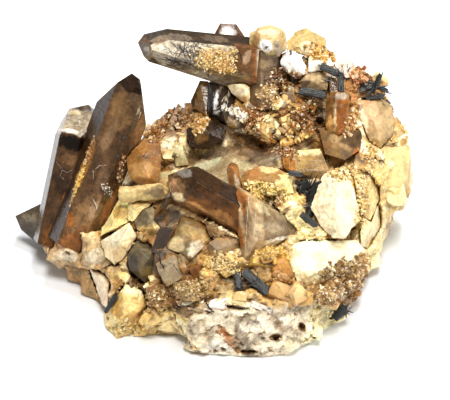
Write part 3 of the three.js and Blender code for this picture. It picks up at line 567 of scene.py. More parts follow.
# The colours of the rock's display side, laid on in this order, with painted shade and highlights among them.
ROCK_ZONES = [
    # the wall, with grey painted shade in its pits and dips and paler painted highlights
    WALL,
    Zone(-7.5, -38.6, 3.4, 2.4, "#A89A84", 10, 0.7),
    Zone(10, -37, 8, 2, "#F6EEDC", 10, 0.8),
    Zone(20, -43, 8, 2, "#F3E6C4", 25, 0.8),
    Zone(-2, -44, 4, 3, "#F6EEE0", 0, 0.8),
    Zone(15.6, -36.6, 4, 1.2, "#84766A", -40, 0.8),
    Zone(17.4, -33.4, 4, 1, "#7E6A54", 20, 0.7),
    Zone(5, -35.4, 5, 1.2, "#9A8A74", -10, 0.7),
    Zone(11, -41, 3, 1.6, "#C0B09A", 20, 0.7),
    Zone(20.6, -39, 3, 1, "#9A8C7C", -30, 0.7),
    Zone(1.6, -41.4, 5.4, 1.2, "#8E5426", -52, 1),  # rusty streak down it
    Zone(4.8, -41.8, 4.6, 2.4, "#6A5C50", -60, 0.8),
    Zone(7.5, -46.2, 3, 0.9, "#3A3430", -15, 0.9),
    Zone(14.4, -45.4, 4.4, 1.2, "#B5AA9C", 12, 0.6),
    Zone(13, -35, 5, 1, "#D9C6AC", -30, 0.7),
    Zone(23, -37.6, 1.4, 1, "#7A5230", -40, 0.8),
    Zone(28, -40.5, 5, 3, "#F6E9BE", 30, 0.8),
    # left of the wall
    Zone(-19.5, -35, 9, 5.5, "#E3C27A"),
    Zone(-15, -37.5, 4.6, 2.4, "#F3E4B8", -15, 0.9),
    Zone(-21.5, -32, 3, 1.6, "#7A5424", 20, 0.8),
    Zone(-29, -39, 7, 3.4, "#D9B45E", 5, 0.8),
    # lower left flank
    FLANK,
    Zone(-50.5, -21, 4, 7, "#8C7050", -35, 0.8),
    Zone(-41, -26.5, 5, 5, "#9C7A4E", -40, 0.8),
    Zone(-47.5, -16.6, 3.4, 1.8, "#CDBFA8", -10, 0.8),
    Zone(-38.4, -16.8, 3.4, 2.2, "#DCD0B4", 0, 0.8),
    Zone(-50, -13, 3, 2, "#9A5A2A", 0, 0.9),
    Zone(-33, -20.4, 4, 3.4, "#8E7A50", 20, 0.8),
    Zone(-30.6, -22.5, 2.6, 1.4, "#C9A85E", 20, 0.8),
    # brown ground under the middle crystals, with painted shade beneath them and in the slits along the wall's top
    Zone(-14, -14, 13, 10, "#7E6038"),
    Zone(-16.5, -2.5, 4, 4.6, "#33261A", -30),
    Zone(-19.5, -14, 2.6, 7, "#2E2216", -25),
    Zone(-17, -21, 5.4, 5, "#8A7858", 0, 0.9),
    Zone(-8.5, -21.5, 5, 3.6, "#7E5226", 0, 0.9),
    Zone(-1.5, -19.5, 6.5, 4.4, "#D9B668"),
    Zone(-17.5, -28.5, 9, 3.4, "#745020", 0, 0.9),
    Zone(-4.5, -26, 7, 3, "#856434", 0, 0.9),
    Zone(-8.5, -31.5, 9, 1.4, "#4A3018", 0, 0.75),
    Zone(-2, -34, 5, 1.6, "#E9DCC6", -10, 0.8),
    # under the clear point
    Zone(14.1, -19.5, 8.6, 8.2, "#CF9F4C"),
    Zone(9, -15, 3, 3.4, "#E9C76E", 0, 0.8),
    Zone(17.4, -21.5, 3.6, 4, "#9C6626", -30, 0.85),
    Zone(16.5, -29, 8, 2.8, "#C29A56", 10, 0.9),
    Zone(4.5, -28, 4, 2, "#D3B06A", 0, 0.8),
    # lower right
    Zone(34.5, -24, 9.2, 8.6, "#8A622E"),
    Zone(30, -34.2, 5.6, 3.8, "#CFC394"),
    Zone(34.8, -33.3, 2.6, 2, "#1E211E", 30, 0.9),
    # the slope, with a painted shadow along its top and a painted greenish sheen on it
    SLOPE,
    Zone(-3, 13.6, 5, 1.8, "#6E5434", 12, 0.8),
    Zone(5.5, 14.2, 6, 1.8, "#7A5E3C", -12, 0.8),
    Zone(-6, 10.4, 5, 1.4, "#BDBA94", 20, 0.8),
    Zone(6, 10, 4.4, 1.2, "#BDB388", -25, 0.7),
    Zone(-7.5, 8, 3, 1, "#7E6A48", 15, 0.7),
    Zone(-14.1, 13.8, 2.8, 3.6, "#CFC796"),
    Zone(-18, 5, 4, 5, "#C6B27C", 0, 0.9),
    Zone(-19, 9.5, 3.4, 2, "#8E6C3C", 0, 0.8),
    Zone(13.5, 3, 7, 5.6, "#E3C47C"),  # golden druse round a hole
    # painted shade in the hole
    Zone(14.1, 1.2, 2.4, 2.6, "#4A2C10", 0, 0.9),
    Zone(23, -8, 4, 8, "#EADB9C", 0, 0.8),
    # under the crown, with painted shade beneath it and in its holes
    CROWN_GROUND,
    Zone(6, 16.2, 8, 2.4, "#4E3820", -47),
    Zone(16.5, 14.6, 5, 2.2, "#5A3618", -25, 0.9),
    Zone(13, 24, 5, 3, "#9A6428", 30, 0.7),
    Zone(28.5, 22, 3.4, 6.4, "#2C160A", 0),
    Zone(20, 36.5, 5, 3, "#4A2412", -15, 0.9),
    Zone(26, 30, 5, 3, "#4E2A14", 0, 0.9),
    Zone(-15, 24.3, 6.4, 5, "#7E4A1E"),  # orange-brown lumps at the roots
    Zone(-5, 22, 3, 5, "#5E3C1C", 0, 0.9),
    Zone(4, 25, 4, 3, "#4A3018", 20, 0.9),
    # right side
    Zone(33.5, 18, 7.5, 5, "#8E683A", -10),
    Zone(37.5, 14.5, 3, 3, "#5E3E20", 0, 0.9),
    Zone(36, 9, 6, 3, "#C39A5A", 0, 0.9),
    Zone(42, 33, 6, 4.6, "#B5773C", -20, 0.9),
    Zone(47, 20, 6, 6, "#D9BC80", 0, 0.9),
    Zone(49, 4, 7, 10, "#D3BA7A", 0, 0.9),
    Zone(43, 0, 4, 10, "#D9AE5C", 0, 0.8),
    Zone(44, -12, 6, 8, "#E9D8A2", 0, 0.9),
    Zone(52.5, -9, 3.6, 3, "#8A7C6C", 0, 0.9),
    # shadowed gaps
    Zone(-17, -1, 4.4, 4, "#33261A", -30),
    Zone(-19, -8, 2, 4, "#3A2A1A", -20, 0.9),
    Zone(-19.5, -16, 2.2, 6, "#2E2216", -25, 0.9),
    Zone(-20, 9, 1.6, 6, "#4A3018", -8, 0.85),
    Zone(-25.5, -25, 6.5, 1.6, "#20160C", -60),
    Zone(-5, 18.5, 8, 1.4, "#4E361E", 14, 0.8),
]
# Where the gaps between crystals get less iron stain and less painted shade, so they stay light.
UNSHADED_GAP_AREAS = [
    Area(45, 4, 16, 24, 0, 0.85),
    Area(24, -12, 14, 8, 0, 0.8),
    Area(-33, -6, 7, 15, -35, 0.7),
    Area(17, 46, 17, 9, 0, 0.9),
    Area(17, 22, 12, 9, 0, 0.5),
    Area(-24, 11, 7, 10, 0, 0.6),
]
# The pits and gaps of the rock.
ROCK_HOLES = [
    Hole(15, -40.8, 1.5, 1, 4),
    Hole(22.8, -37.6, 0.9, 1.3, 2.5, 20),
    Hole(7, -45.4, 2.4, 0.9, 2),
    Hole(14.1, 1.2, 1.9, 2.4, 4),
    Hole(28.5, 21.9, 1.6, 2.8, 5),
    Hole(-25.5, -25, 6.5, 1.1, 3.5, -60),
    Hole(-11.4, -31.2, 3.2, 0.6, 2.5),
    Hole(3.3, -31.8, 3.4, 0.6, 2.5, -5),
    Hole(-5.4, -30.3, 2.2, 2.2, 1.6),
    Hole(20, 36.5, 3.4, 1.5, 3, -15),
    Hole(7.5, 17.5, 5, 1.6, 3, -25),
    Hole(-14, 3.6, 3, 1.4, 2.5, -10),
    Hole(30, 33, 1.6, 2.6, 4, 10),
    Hole(2.5, -12.5, 3.6, 1.2, 3, -20),
]
# The colours that whole grains of the rock take, each with the share of grains up to it.
GRAIN_COLOURS = [
    (0.34, "#E9D3A0"), (0.52, "#F1E6C8"), (0.72, "#CFA458"), (0.86, "#A87838"), (0.94, "#8C7656"), (1.0, "#5E4024")
]


def grain_colours(shades):
    """A colour for each random value."""
    limits = [share for share, _ in GRAIN_COLOURS]
    palette = np.array([linear(colour) for _, colour in GRAIN_COLOURS])
    return palette[np.searchsorted(limits, np.clip(shades, 0, 0.999), side="right")]


def rock_colour(points, shades, hollows, sizes):
    """The rock's colour: whole grains, zones on its face, stain in patches, painted shade with dirt in hollows."""
    inside = any_share(points, ROCK_ZONES)[:, None]
    grains = grain_colours(shades)
    plain = grains * 0.6 + np.array(linear("#CDAE74")) * 0.4
    zoned = laid_over(points, plain, ROCK_ZONES, zone_colour, 2.5)
    colours = zoned * (0.6 + 0.2 * inside) + grains * (0.4 - 0.2 * inside)
    smooth = np.maximum(zone_share(points, WALL) * 0.6, zone_share(points, SLOPE))
    colours = colours * (1 - 0.5 * smooth[:, None]) + zoned * 0.5 * smooth[:, None]
    colours = toned(colours, 1 + (shades * 7.3 % 1.0 - 0.5) * (0.4 - 0.3 * smooth))
    stain = np.clip(crumbs_at(points, 7.0, 11.0) - 0.1, 0, 1)
    colours = blended(colours, sizes.iron_stain, stain * (0.6 - 0.5 * smooth))
    # painted shade with dirt in the hollows, and the ridges painted lighter
    colours = blended(colours, sizes.shade_and_dirt, np.clip(hollows * 0.8 - 0.2, 0, 0.8 - 0.5 * smooth))
    return mottled(points, toned(colours, 1 + np.clip(-hollows, 0, 0.6) * 0.3), 0.7)


def carve(points, holes):
    """Pushes points into the rock at its holes."""
    for hole in holes:
        share = np.clip((1.2 - oval_distance(points, hole)) / 0.4, 0, 1)
        points = points - OUT_OF_FACE * (share * hole.depth * MM)[:, None]
    return points


def swell_of(points, normals):
    """How far the rock swells out between the crystals that it carries, in millimetres."""
    thin = surface_of(*(NODES[row["node"]].data for row in SUBPARTS if row["material_slot"] == "aegirine"))
    clear = np.array([thin.find_nearest(Vector(point))[3] for point in points]) / MM
    open_face = np.clip(normals @ OUT_OF_FACE * 1.5, 0, 1) * np.clip((clear - 1) / 3, 0, 1)
    low_face = np.clip((16 - face_places(points)[1]) / 6, 0, 1) * np.clip((points[:, 2] / MM - 3) / 5, 0, 1)
    smooth = np.maximum(zone_share(points, SLOPE), zone_share(points, WALL))
    return 2.4 * open_face * low_face * (1 - smooth)


def rock_mesh(sizes):
    """The rock in even faces, broken into grains and crumbs, its underside left flat. Also one random value for the
    grain that each point belongs to."""
    plain = finished_mesh(merged_copy("matrix"), "rock")
    mesh = even_mesh(plain, sizes.rock_face)
    points = points_of(mesh)
    rough = zone_share(points, WALL)
    calm = 1 - np.maximum(0.85 * zone_share(points, SLOPE), any_share(points, CALM_AREAS))
    large, shades = grains_at(points, 5.0, 5.0)
    small, small_shades = grains_at(points, 2.2, 9.0)
    relief = (large * 0.9 + small * 0.45) * calm + crumbs_at(points, 1.6, 2.0) * (0.26 + 0.12 * rough)
    relief += np.abs(crumbs_at(points, 5.0, 21.0)) * -0.9 * rough
    above = np.clip((points[:, 2] / MM - 0.3) / 1.5, 0, 1)
    normals = normals_of(mesh)
    moved = points + normals * (relief * above * sizes.rock_relief * MM)[:, None]
    moved += OUT_OF_FACE * (swell_of(points, normals) * MM)[:, None]
    moved = carve(moved, ROCK_HOLES)
    moved[:, 2] = np.maximum(moved[:, 2], 0)
    moved[:, :2] *= 1 - 0.055 * np.clip(1 - moved[:, 2:] / (5 * MM), 0, 1) ** 2
    set_points(mesh, moved)
    mesh.shade_flat()
    return mesh, (shades + small_shades * 0.22) % 1.0


# ---- surfaces to set small things on ----


def surface_of(*meshes):
    """A tree of all faces of some meshes, to find where a ray meets them."""
    bm = bmesh.new()
    for mesh in meshes:
        bm.from_mesh(mesh)
    tree = BVHTree.FromBMesh(bm)
    bm.free()
    return tree


def seat(surface, across, rise):
    """Where the surface is seen at a place on the display face: the point and its normal, or None where that is the
    table."""
    far = on_face(across, rise, FAR_OUT)
    spot, normal, _, _ = surface.ray_cast(far, -Vector(OUT_OF_FACE))
    if spot is None or spot.z < 1.0 * MM:
        return None
    return spot, normal


def surface_places(mesh, crowd, chooser):
    """Random places on a mesh, their normals, and one of the mesh's points by each. crowd gives for each point how
    many there are to a square millimetre."""
    mesh.calc_loop_triangles()
    corners = np.empty(len(mesh.loop_triangles) * 3, np.int64)
    mesh.loop_triangles.foreach_get("vertices", corners)
    corners = corners.reshape(-1, 3)
    points = points_of(mesh)
    a, b, c = (points[corners[:, i]] for i in range(3))
    crosses = np.cross(b - a, c - a)
    doubles = np.linalg.norm(crosses, axis=1)
    wanted = doubles / 2 / MM**2 * crowd[corners].mean(1)
    counts = chooser.poisson(wanted)
    rows = np.repeat(np.arange(len(corners)), counts)
    u, v = chooser.random(len(rows)), chooser.random(len(rows))
    fold = u + v > 1
    u[fold], v[fold] = 1 - u[fold], 1 - v[fold]
    spots = a[rows] + (b - a)[rows] * u[:, None] + (c - a)[rows] * v[:, None]
    normals = crosses[rows] / np.maximum(doubles[rows], 1e-12)[:, None]
    return spots, normals, corners[rows, 0]


def crevices_of(points, normals, surface, reach):
    """How shut in each point is, from 0 in the open to 1 in a deep gap, by short rays that end on the cluster."""
    side = math.sin(math.radians(55))
    spread = [Vector((math.cos(a) * side, math.sin(a) * side, 0.6)) for a in np.arange(0, 6) * math.pi / 3]
    spread.append(Vector((0, 0, 1)))
    shut = np.zeros(len(points))
    for i, (point, normal) in enumerate(zip(points, normals)):
        turn = Vector(normal).to_track_quat("Z", "Y")
        start = Vector(point) + Vector(normal) * 0.12 * MM
        for ray in spread:
            met = surface.ray_cast(start, turn @ ray, reach * MM)
            if met[0] is not None:
                shut[i] += 1 - met[3] / (reach * MM)
    return shut / len(spread)


def aimed(direction):
    """A turn that points +Z along a direction."""
    return direction.to_track_quat("Z", "Y").to_matrix().to_4x4()


def stand_on(spot, normal, lean, chooser):
    """A placing that stands along a normal, leaning by up to lean degrees and turned at random."""
    away = Vector(normal) + Vector(chooser.normal(0, math.tan(math.radians(lean)), 3))
    turn = Matrix.Rotation(chooser.uniform(0, 2 * math.pi), 4, "Z")
    return Matrix.Translation(Vector(spot)) @ aimed(away) @ turn


def lie_on(spot, normal, lift, chooser):
    """A placing that lies on a surface in any direction, one end a little raised."""
    side = Vector(chooser.normal(0, 1, 3)).cross(Vector(normal)).normalized()
    away = side + Vector(normal) * chooser.uniform(0.0, 0.7)
    turn = Matrix.Rotation(chooser.uniform(0, 2 * math.pi), 4, "Z")
    start = Vector(spot) + Vector(normal) * lift
    return Matrix.Translation(start) @ aimed(away) @ turn


# ---- small crystals ----


def add_grain(bm, place, width, chooser):
    """One small crystal: a block, a pointed one or a blunt one."""
    kind = chooser.random()
    tall = width * chooser.uniform(0.9, 1.7)
    if kind < 0.6:
        skew = Matrix.Identity(4)
        skew[0][2], skew[1][2] = chooser.normal(0, 0.25, 2)
        size = Matrix.Diagonal((width * 0.8, width * chooser.uniform(0.5, 0.9), tall * 0.8, 1))
        bmesh.ops.create_cube(bm, size=1, matrix=place @ skew @ size)
        return
    top = 0 if kind < 0.85 else width * 0.22
    lifted = place @ Matrix.Translation((0, 0, tall * 0.25))
    bmesh.ops.create_cone(
        bm, cap_ends=True, segments=6, radius1=width / 2, radius2=top, depth=tall, matrix=lifted
    )


# How many grains are built before they are poured into the whole.
POUR_SIZE = 200


def crust_mesh(name, grains, chooser):
    """Many small crystals in one mesh, each in its own colour. A grain is its placing, width and colour."""
    whole = bmesh.new()
    tints = []
    for start in range(0, len(grains), POUR_SIZE):
        part = bmesh.new()
        for place, width, colour in grains[start : start + POUR_SIZE]:
            before = len(part.verts)
            add_grain(part, place, width, chooser)
            tints.append(np.tile(colour, (len(part.verts) - before, 1)))
        pour(part, whole)
    mesh = finished_mesh(whole, name)
    set_attribute(mesh, "tint", np.concatenate(tints))
    return mesh


def patch_places(surface, patch, chooser):
    """Random places and normals within a patch, on whatever is seen there."""
    places = []
    turn = Matrix.Rotation(math.radians(patch.turn), 2)
    for _ in range(patch.count):
        angle, reach = chooser.uniform(0, 2 * math.pi), math.sqrt(chooser.random()) * chooser.uniform(0.6, 1.25)
        offset = turn @ Vector((math.cos(angle) * patch.wide * reach, math.sin(angle) * patch.high * reach))
        seated = seat(surface, patch.across + offset.x, patch.rise + offset.y)
        if seated:
            places.append(seated)
    return places


def near_tint(tint, low, high, hue, chooser):
    """A colour made from low to high times as light by chance, and moved by a hue."""
    return np.clip(tint * np.append(np.array(hue) * chooser.uniform(low, high), 1), 0, 1)


def patch_colour(patch, others, shares, chooser):
    """A patch's colour moved by chance towards one of some others."""
    colour = np.array(linear(patch.colour))
    other = np.array(linear(chooser.choice(others, p=shares)))
    return colour + (other - colour) * chooser.uniform(0, 0.9) ** 1.3


def patch_grains(surface, patch, chooser):
    """The grains of one patch."""
    grains = []
    for seated in patch_places(surface, patch, chooser):
        colour = patch_colour(patch, ("#FFF3D2", "#F0D69A", "#6A401C", "#3E2410"), (0.2, 0.25, 0.3, 0.25), chooser)
        grains.append((stand_on(*seated, 30, chooser), chooser.uniform(patch.small, patch.large) * MM, colour))
    return grains


def patch_blocks(surface, patch, chooser):
    """The blocky rods of one patch, lying about at all angles."""
    blocks = []
    for spot, normal in patch_places(surface, patch, chooser):
        colour = patch_colour(patch, ("#FFF6D8", "#EFCB80", "#9A5E24"), (0.45, 0.3, 0.25), chooser)
        length = chooser.uniform(patch.small, patch.large) * MM
        size = (length * chooser.uniform(0.28, 0.42), length * chooser.uniform(0.28, 0.42), length)
        blocks.append((lie_on(spot, normal, length * 0.12, chooser), size, colour))
    return blocks


def block_bmesh(place, size, chooser):
    """A broken blocky crystal: a skewed box with corners and sides cut off and worn edges."""
    bm = bmesh.new()
    bmesh.ops.create_cube(bm, size=1)
    for vert in bm.verts:
        vert.co += Vector(chooser.uniform(-0.14, 0.14, 3))
    for _ in range(5):
        direction = Vector(chooser.normal(0, 1, 3)).normalized()
        cut = bmesh.ops.bisect_plane(
            bm, geom=bm.verts[:] + bm.edges[:] + bm.faces[:], plane_co=direction * chooser.uniform(0.4, 0.58),
            plane_no=direction, clear_outer=True,
        )
        rim = [item for item in cut["geom_cut"] if isinstance(item, bmesh.types.BMEdge)]
        if rim:
            bmesh.ops.edgenet_fill(bm, edges=rim)
    wear_edges(bm, 0.035)
    bmesh.ops.triangulate(bm, faces=bm.faces[:])
    if max(size) > 2.5 * MM:
        long_edges = [edge for edge in bm.edges if edge.calc_length() > 0.3]
        bmesh.ops.subdivide_edges(bm, edges=long_edges, cuts=2, use_grid_fill=True)
        bmesh.ops.triangulate(bm, faces=[face for face in bm.faces if len(face.verts) > 4])
    bmesh.ops.transform(bm, matrix=place @ Matrix.Diagonal((*size, 1)), verts=bm.verts)
    bmesh.ops.recalc_face_normals(bm, faces=bm.faces)
    return bm


def blocks_mesh(name, blocks, stain, chooser):
    """Many blocks in one mesh, stained towards their feet. A block is its placing, size and colour."""
    whole = bmesh.new()
    tints, growths, tops = [], [], []
    for place, size, colour in blocks:
        bm = block_bmesh(place, size, chooser)
        tints.append(np.tile(colour, (len(bm.verts), 1)))
        into = place.inverted()
        own = np.array([into @ vert.co for vert in bm.verts])
        growths.append(own / MM)
        tops.append(own[:, 2] / size[2])
        pour(bm, whole)
    mesh = finished_mesh(whole, name, 28)
    points = points_of(mesh)
    chips, shades = grains_at(points, 1.8, 3.0)
    height = crumbs_at(points, 1.4, 6.0) * 0.12 + chips * 0.12
    set_points(mesh, points + normals_of(mesh) * (height * MM)[:, None])
    colours = np.concatenate(tints)
    stains = 0.3 - np.concatenate(tops) + crumbs_at(points, 3.0, 40.0) * 0.4
    colours = blended(colours, stain, np.clip(stains, 0, 0.65))
    colours = mottled(points, toned(colours, 0.92 + 0.16 * shades), 0.5)
    set_attribute(mesh, "tint", colours)
    set_attribute(mesh, "growth", np.concatenate(growths))
    return mesh


def placed_block(surface, block, chooser):
    """The placing, size and colour of a listed block, sunk by a third into what carries it."""
    seated = seat(surface, block.across, block.rise)
    if seated is None:
        return None
    tilt = Matrix.Rotation(chooser.normal(0, 0.25), 4, "X") @ Matrix.Rotation(chooser.normal(0, 0.25), 4, "Y")
    turn = Matrix.Rotation(math.radians(block.turn), 4, "Z")
    place = Matrix.Translation(seated[0] - Vector(OUT_OF_FACE) * block.deep * 0.28 * MM) @ FACE_TURN @ turn @ tilt
    colour = np.array(linear(block.colour))
    return place, (block.wide * MM, block.high * MM, block.deep * MM), colour


# Small feldspar blocks, each with its own place.
ROCK_BLOCKS = [
    # left lower, first the dark ones between the knobs and the front crystal, their darkness partly painted shade in
    # that gap
    Block(-17.2, -4.6, 8, 9.6, 4, -30, "#2E1E0C"),
    Block(-18.4, -12, 4.4, 8.6, 3.6, -20, "#33220F"),
    Block(-19.6, -19, 3.6, 7.6, 3.2, -10, "#2E1E0E"),
    Block(-15.6, -20.4, 7.6, 7, 4.6, 30, "#8E7C5E"),
    Block(-12.4, -18, 3.6, 4.6, 3.2, -20, "#A8946C"),
    Block(-8.4, -21.6, 4.2, 4.6, 3.6, 15, "#74481E"),
    Block(-11.1, -23.6, 3.6, 3, 2.4, 40, "#7E5626"),
    Block(-3, -18.6, 5.4, 4.6, 3.8, 10, "#E6CA84"),
    Block(0.8, -20.6, 4.2, 4.2, 3.2, 35, "#DDBA70"),
    Block(-19.6, -28.4, 7.2, 5, 4.2, 15, "#7E5828"),
    Block(-11.4, -27.2, 7.8, 5.8, 4.9, -5, "#856A3C"),
    Block(-10.5, -30.5, 7.2, 1.8, 1.6, 5, "#EFE3C6"),
    Block(-1.8, -30.9, 4.2, 3.6, 3.2, -10, "#F0E4D6"),
    Block(3.3, -30.3, 6.6, 1.5, 1.4, -12, "#E3CC98"),
    Block(-22.5, -35.6, 5.4, 4.8, 3.8, 30, "#D0B272"),
    Block(-17.4, -36.8, 6, 4.6, 3.8, -20, "#E0CA90"),
    Block(-38, -22.6, 4.6, 9, 4.2, -28, "#E6D3B8"),
    Block(-31.5, -37.5, 7, 5.4, 4.3, 10, "#E6CC86"),
    Block(-25, -38.8, 4.6, 3.6, 2.7, -5, "#D9B870"),
    # beside tall
    Block(-19.5, 10.5, 5, 4, 3.2, 20, "#B98A50"),
    Block(-22.5, 15, 5.8, 4, 3.2, -15, "#C9A368"),
    Block(-18, 6.4, 4.6, 3.6, 2.7, 5, "#C6B686"),
    Block(-13.6, 13.2, 4.6, 6, 3, 15, "#CFC698"),
    # upper right
    Block(31.5, 39, 6, 4.2, 3.2, -10, "#E9D8C0"),
    Block(36, 37.5, 4.6, 3.6, 2.7, 10, "#EAD9C2"),
    Block(38.1, 40.8, 3.8, 2.6, 2.2, 0, "#D8C29A"),
    Block(27.9, 41.4, 5.4, 3.4, 2.7, 5, "#E9DDB8"),
    Block(40.2, 37.2, 4.2, 3.8, 3.2, 20, "#C97A3C"),
    Block(48, 27, 4.4, 4.6, 3.2, -20, "#E3C48C"),
    Block(20, 32.6, 2.8, 3, 2.4, 15, "#F2E2B8"),
    Block(18.6, 30, 3.8, 4.6, 3.2, 0, "#7E6650"),
    # right edge
    Block(49, 19, 8, 9.4, 4.2, 20, "#DCBE80"),
    Block(51.6, 9.6, 8.6, 12.4, 4.6, -5, "#DCC284"),
    Block(51.6, 1.6, 5.4, 8.4, 4.2, 14, "#E3CE98"),
    Block(38.6, 14, 4.6, 3.6, 3, 10, "#8E6238"),
    Block(38, 8.4, 7, 4.4, 3.2, 5, "#E9D49A"),
    Block(42.6, -9.6, 6.6, 8.4, 4.3, 5, "#F4E8BC"),
    Block(46.6, -4.4, 5, 6, 3.8, -15, "#EFE0B0"),
    Block(45, -17, 4.6, 6, 3.8, 20, "#EFDFAE"),
    # front
    Block(-0.4, -14.4, 9.4, 6.6, 4.9, 12, "#8A7250"),
    Block(11.1, -17.4, 7.8, 6, 4.9, -10, "#D9AE58"),
    Block(16.2, -20.6, 6.4, 7.4, 4.9, 25, "#B07C36"),
    Block(8.6, -22.8, 5.4, 4, 3.4, 15, "#CFA65C"),
    Block(17.6, -27.6, 8.4, 4.6, 3.8, -25, "#C0965A"),
    Block(23, -28.8, 7, 4, 3.2, 10, "#C9A25C"),
    Block(4.6, -28.6, 4.6, 3, 2.4, -10, "#D3B47A"),
    Block(11.1, -31.8, 7.4, 1.5, 1.4, -25, "#EDE3D6"),
]

# Heaps of blocky rods.
ROD_PATCHES = [
    Patch(11.5, 22.5, 5.4, 3, -35, 22, 3, 6, "#F0D896"),  # under the crown
    Patch(17.5, 26, 5.4, 3.4, -20, 22, 2.6, 5.4, "#E9C47C"),
    Patch(21, 20, 5.4, 3.4, 10, 20, 2.6, 5, "#E6BE70"),
    Patch(15.5, 18, 5, 2.4, -25, 14, 2.2, 4.6, "#D3A050"),
    Patch(24.5, 28.5, 3.4, 2.6, 0, 14, 1.4, 2.8, "#C4863E"),
    Patch(13.8, 29.6, 3.4, 3.4, 0, 16, 1.6, 3.4, "#D9BC88"),
    Patch(-15, 24.5, 5, 3.6, 10, 34, 1.4, 3, "#A8692E"),  # at the roots
    Patch(-20.5, 20, 2.6, 2.4, 0, 10, 1.4, 2.6, "#9A6430"),
    Patch(41, 36, 3, 2.6, 0, 10, 1.4, 2.6, "#C08044"),
    Patch(38.4, 23, 2, 5, -20, 14, 1.4, 2.8, "#C9985A"),
]

# Crusts of tiny crystals.
DRUSE_PATCHES = [
    # pale grains that stand as painted glints in the tall crystal
    Patch(-35.6, 3.4, 1.7, 1.4, -60, 30, 0.15, 0.45, "#F9F3E8"),  # glints in the tall crystal
    Patch(24, 24, 5, 5, 0, 220, 0.3, 0.9, "#94581F"),  # brown druse under the crown
    Patch(8.5, 24.5, 2.6, 4.4, -30, 160, 0.3, 0.9, "#A4662C"),
    Patch(18, 14.6, 6, 2, -20, 140, 0.3, 0.9, "#8E5422"),
    Patch(34.5, -24.3, 7.5, 5.8, 15, 620, 0.5, 1.3, "#94703E"),  # golden druse on the right
    Patch(40.8, -19.5, 2.4, 3.6, -15, 200, 0.5, 1.2, "#B88E4C"),
    Patch(41, -3, 1.8, 8, -10, 240, 0.4, 1.1, "#E3C27A"),
    Patch(30, -27, 4, 3.5, 0, 300, 0.5, 1.2, "#A2783E"),
    Patch(12.6, 2.6, 6.4, 2.4, -20, 330, 0.5, 1.1, "#E9CC74"),  # yellow druse round the hole
    Patch(15.5, 0.6, 2.6, 2.2, 0, 110, 0.5, 1.1, "#8A5A2A"),
    Patch(14, -15.4, 5.2, 1.8, 10, 200, 0.4, 0.9, "#D9B050"),
    Patch(13.6, 31.4, 3.4, 3.8, 0, 90, 0.4, 1, "#C9A26A"),  # druse over the column's foot
    Patch(29, 44.5, 4.4, 2.4, -15, 260, 0.5, 1.2, "#D3A24E"),  # druse under the crown crystal
    Patch(18, 36.5, 5, 3, -10, 160, 0.5, 1.2, "#6E4424"),
    Patch(3.6, 26.4, 3.8, 1.6, -30, 90, 0.4, 1.1, "#F6F0E6"),  # white sparkling druse by the shining crystal
    Patch(-7.5, 23.5, 2.4, 3.4, -20, 130, 0.5, 1.1, "#C08A3A"),
    Patch(-15, 24.6, 5, 3.6, 10, 80, 0.5, 1.2, "#8E5C28"),  # orange-brown lumps at the roots
    Patch(-21, 20, 2.6, 2.4, 0, 110, 0.6, 1.3, "#98642F"),
    Patch(0, -19, 5.4, 3.6, -10, 200, 0.4, 1, "#E3C684"),
    Patch(-8, -26, 5.4, 3, 0, 140, 0.4, 1, "#B39258"),
    Patch(-19, -28, 5, 2.6, 15, 160, 0.4, 1, "#A07A40"),
    Patch(-31, -38, 6, 2.4, -5, 120, 0.4, 1, "#D9BC74"),
    Patch(44, 13, 3, 5, -10, 90, 0.4, 1, "#D9B878"),  # right edge
    Patch(42, 6, 1.5, 5.6, -25, 170, 0.5, 1.1, "#DCC086"),
    Patch(38.4, 25, 1.6, 6, -20, 130, 0.6, 1.3, "#C08A48"),
    Patch(40.8, 37.6, 2.8, 2.4, 0, 130, 0.6, 1.4, "#B4682E"),
    Patch(36, 8, 5, 2.4, 10, 120, 0.5, 1.2, "#E3C078"),
    Patch(-2.8, 42, 6.4, 3.6, -14, 190, 0.3, 0.8, "#E3BE70"),  # golden crust on the top crystal
    Patch(-1.4, 40.6, 4.6, 3, -10, 150, 0.3, 0.8, "#C99A50"),
    Patch(-7.2, 40.2, 2.4, 1.8, 0, 50, 0.35, 0.7, "#EAD49A"),
    Patch(1.8, 44, 2.4, 2, 0, 50, 0.35, 0.8, "#D8B878"),
    Patch(-43.4, 7.4, 11, 0.3, 70, 230, 0.3, 0.65, "#B98840"),  # iron oxide between the tall pair
    Patch(-43.6, 6.4, 4.6, 0.5, 70, 190, 0.35, 0.75, "#EFC244"),
    Patch(-40.6, 14.6, 4.2, 0.6, 70, 80, 0.3, 0.7, "#A87438"),
    Patch(-31.2, 9.6, 1, 4.4, -10, 120, 0.3, 0.8, "#96602E"),
]

# Feldspar worn round; the rest has flat cleavage faces.
WORN_FELDSPAR = ("feldspar_dome", "feldspar_crown", "feldspar_spotted", "feldspar_clear", "feldspar_lower_left")
# Feldspar with little iron stain.
CLEAN_FELDSPAR = ("feldspar_dome", "feldspar_crown", "feldspar_spotted", "feldspar_white", "feldspar_large")
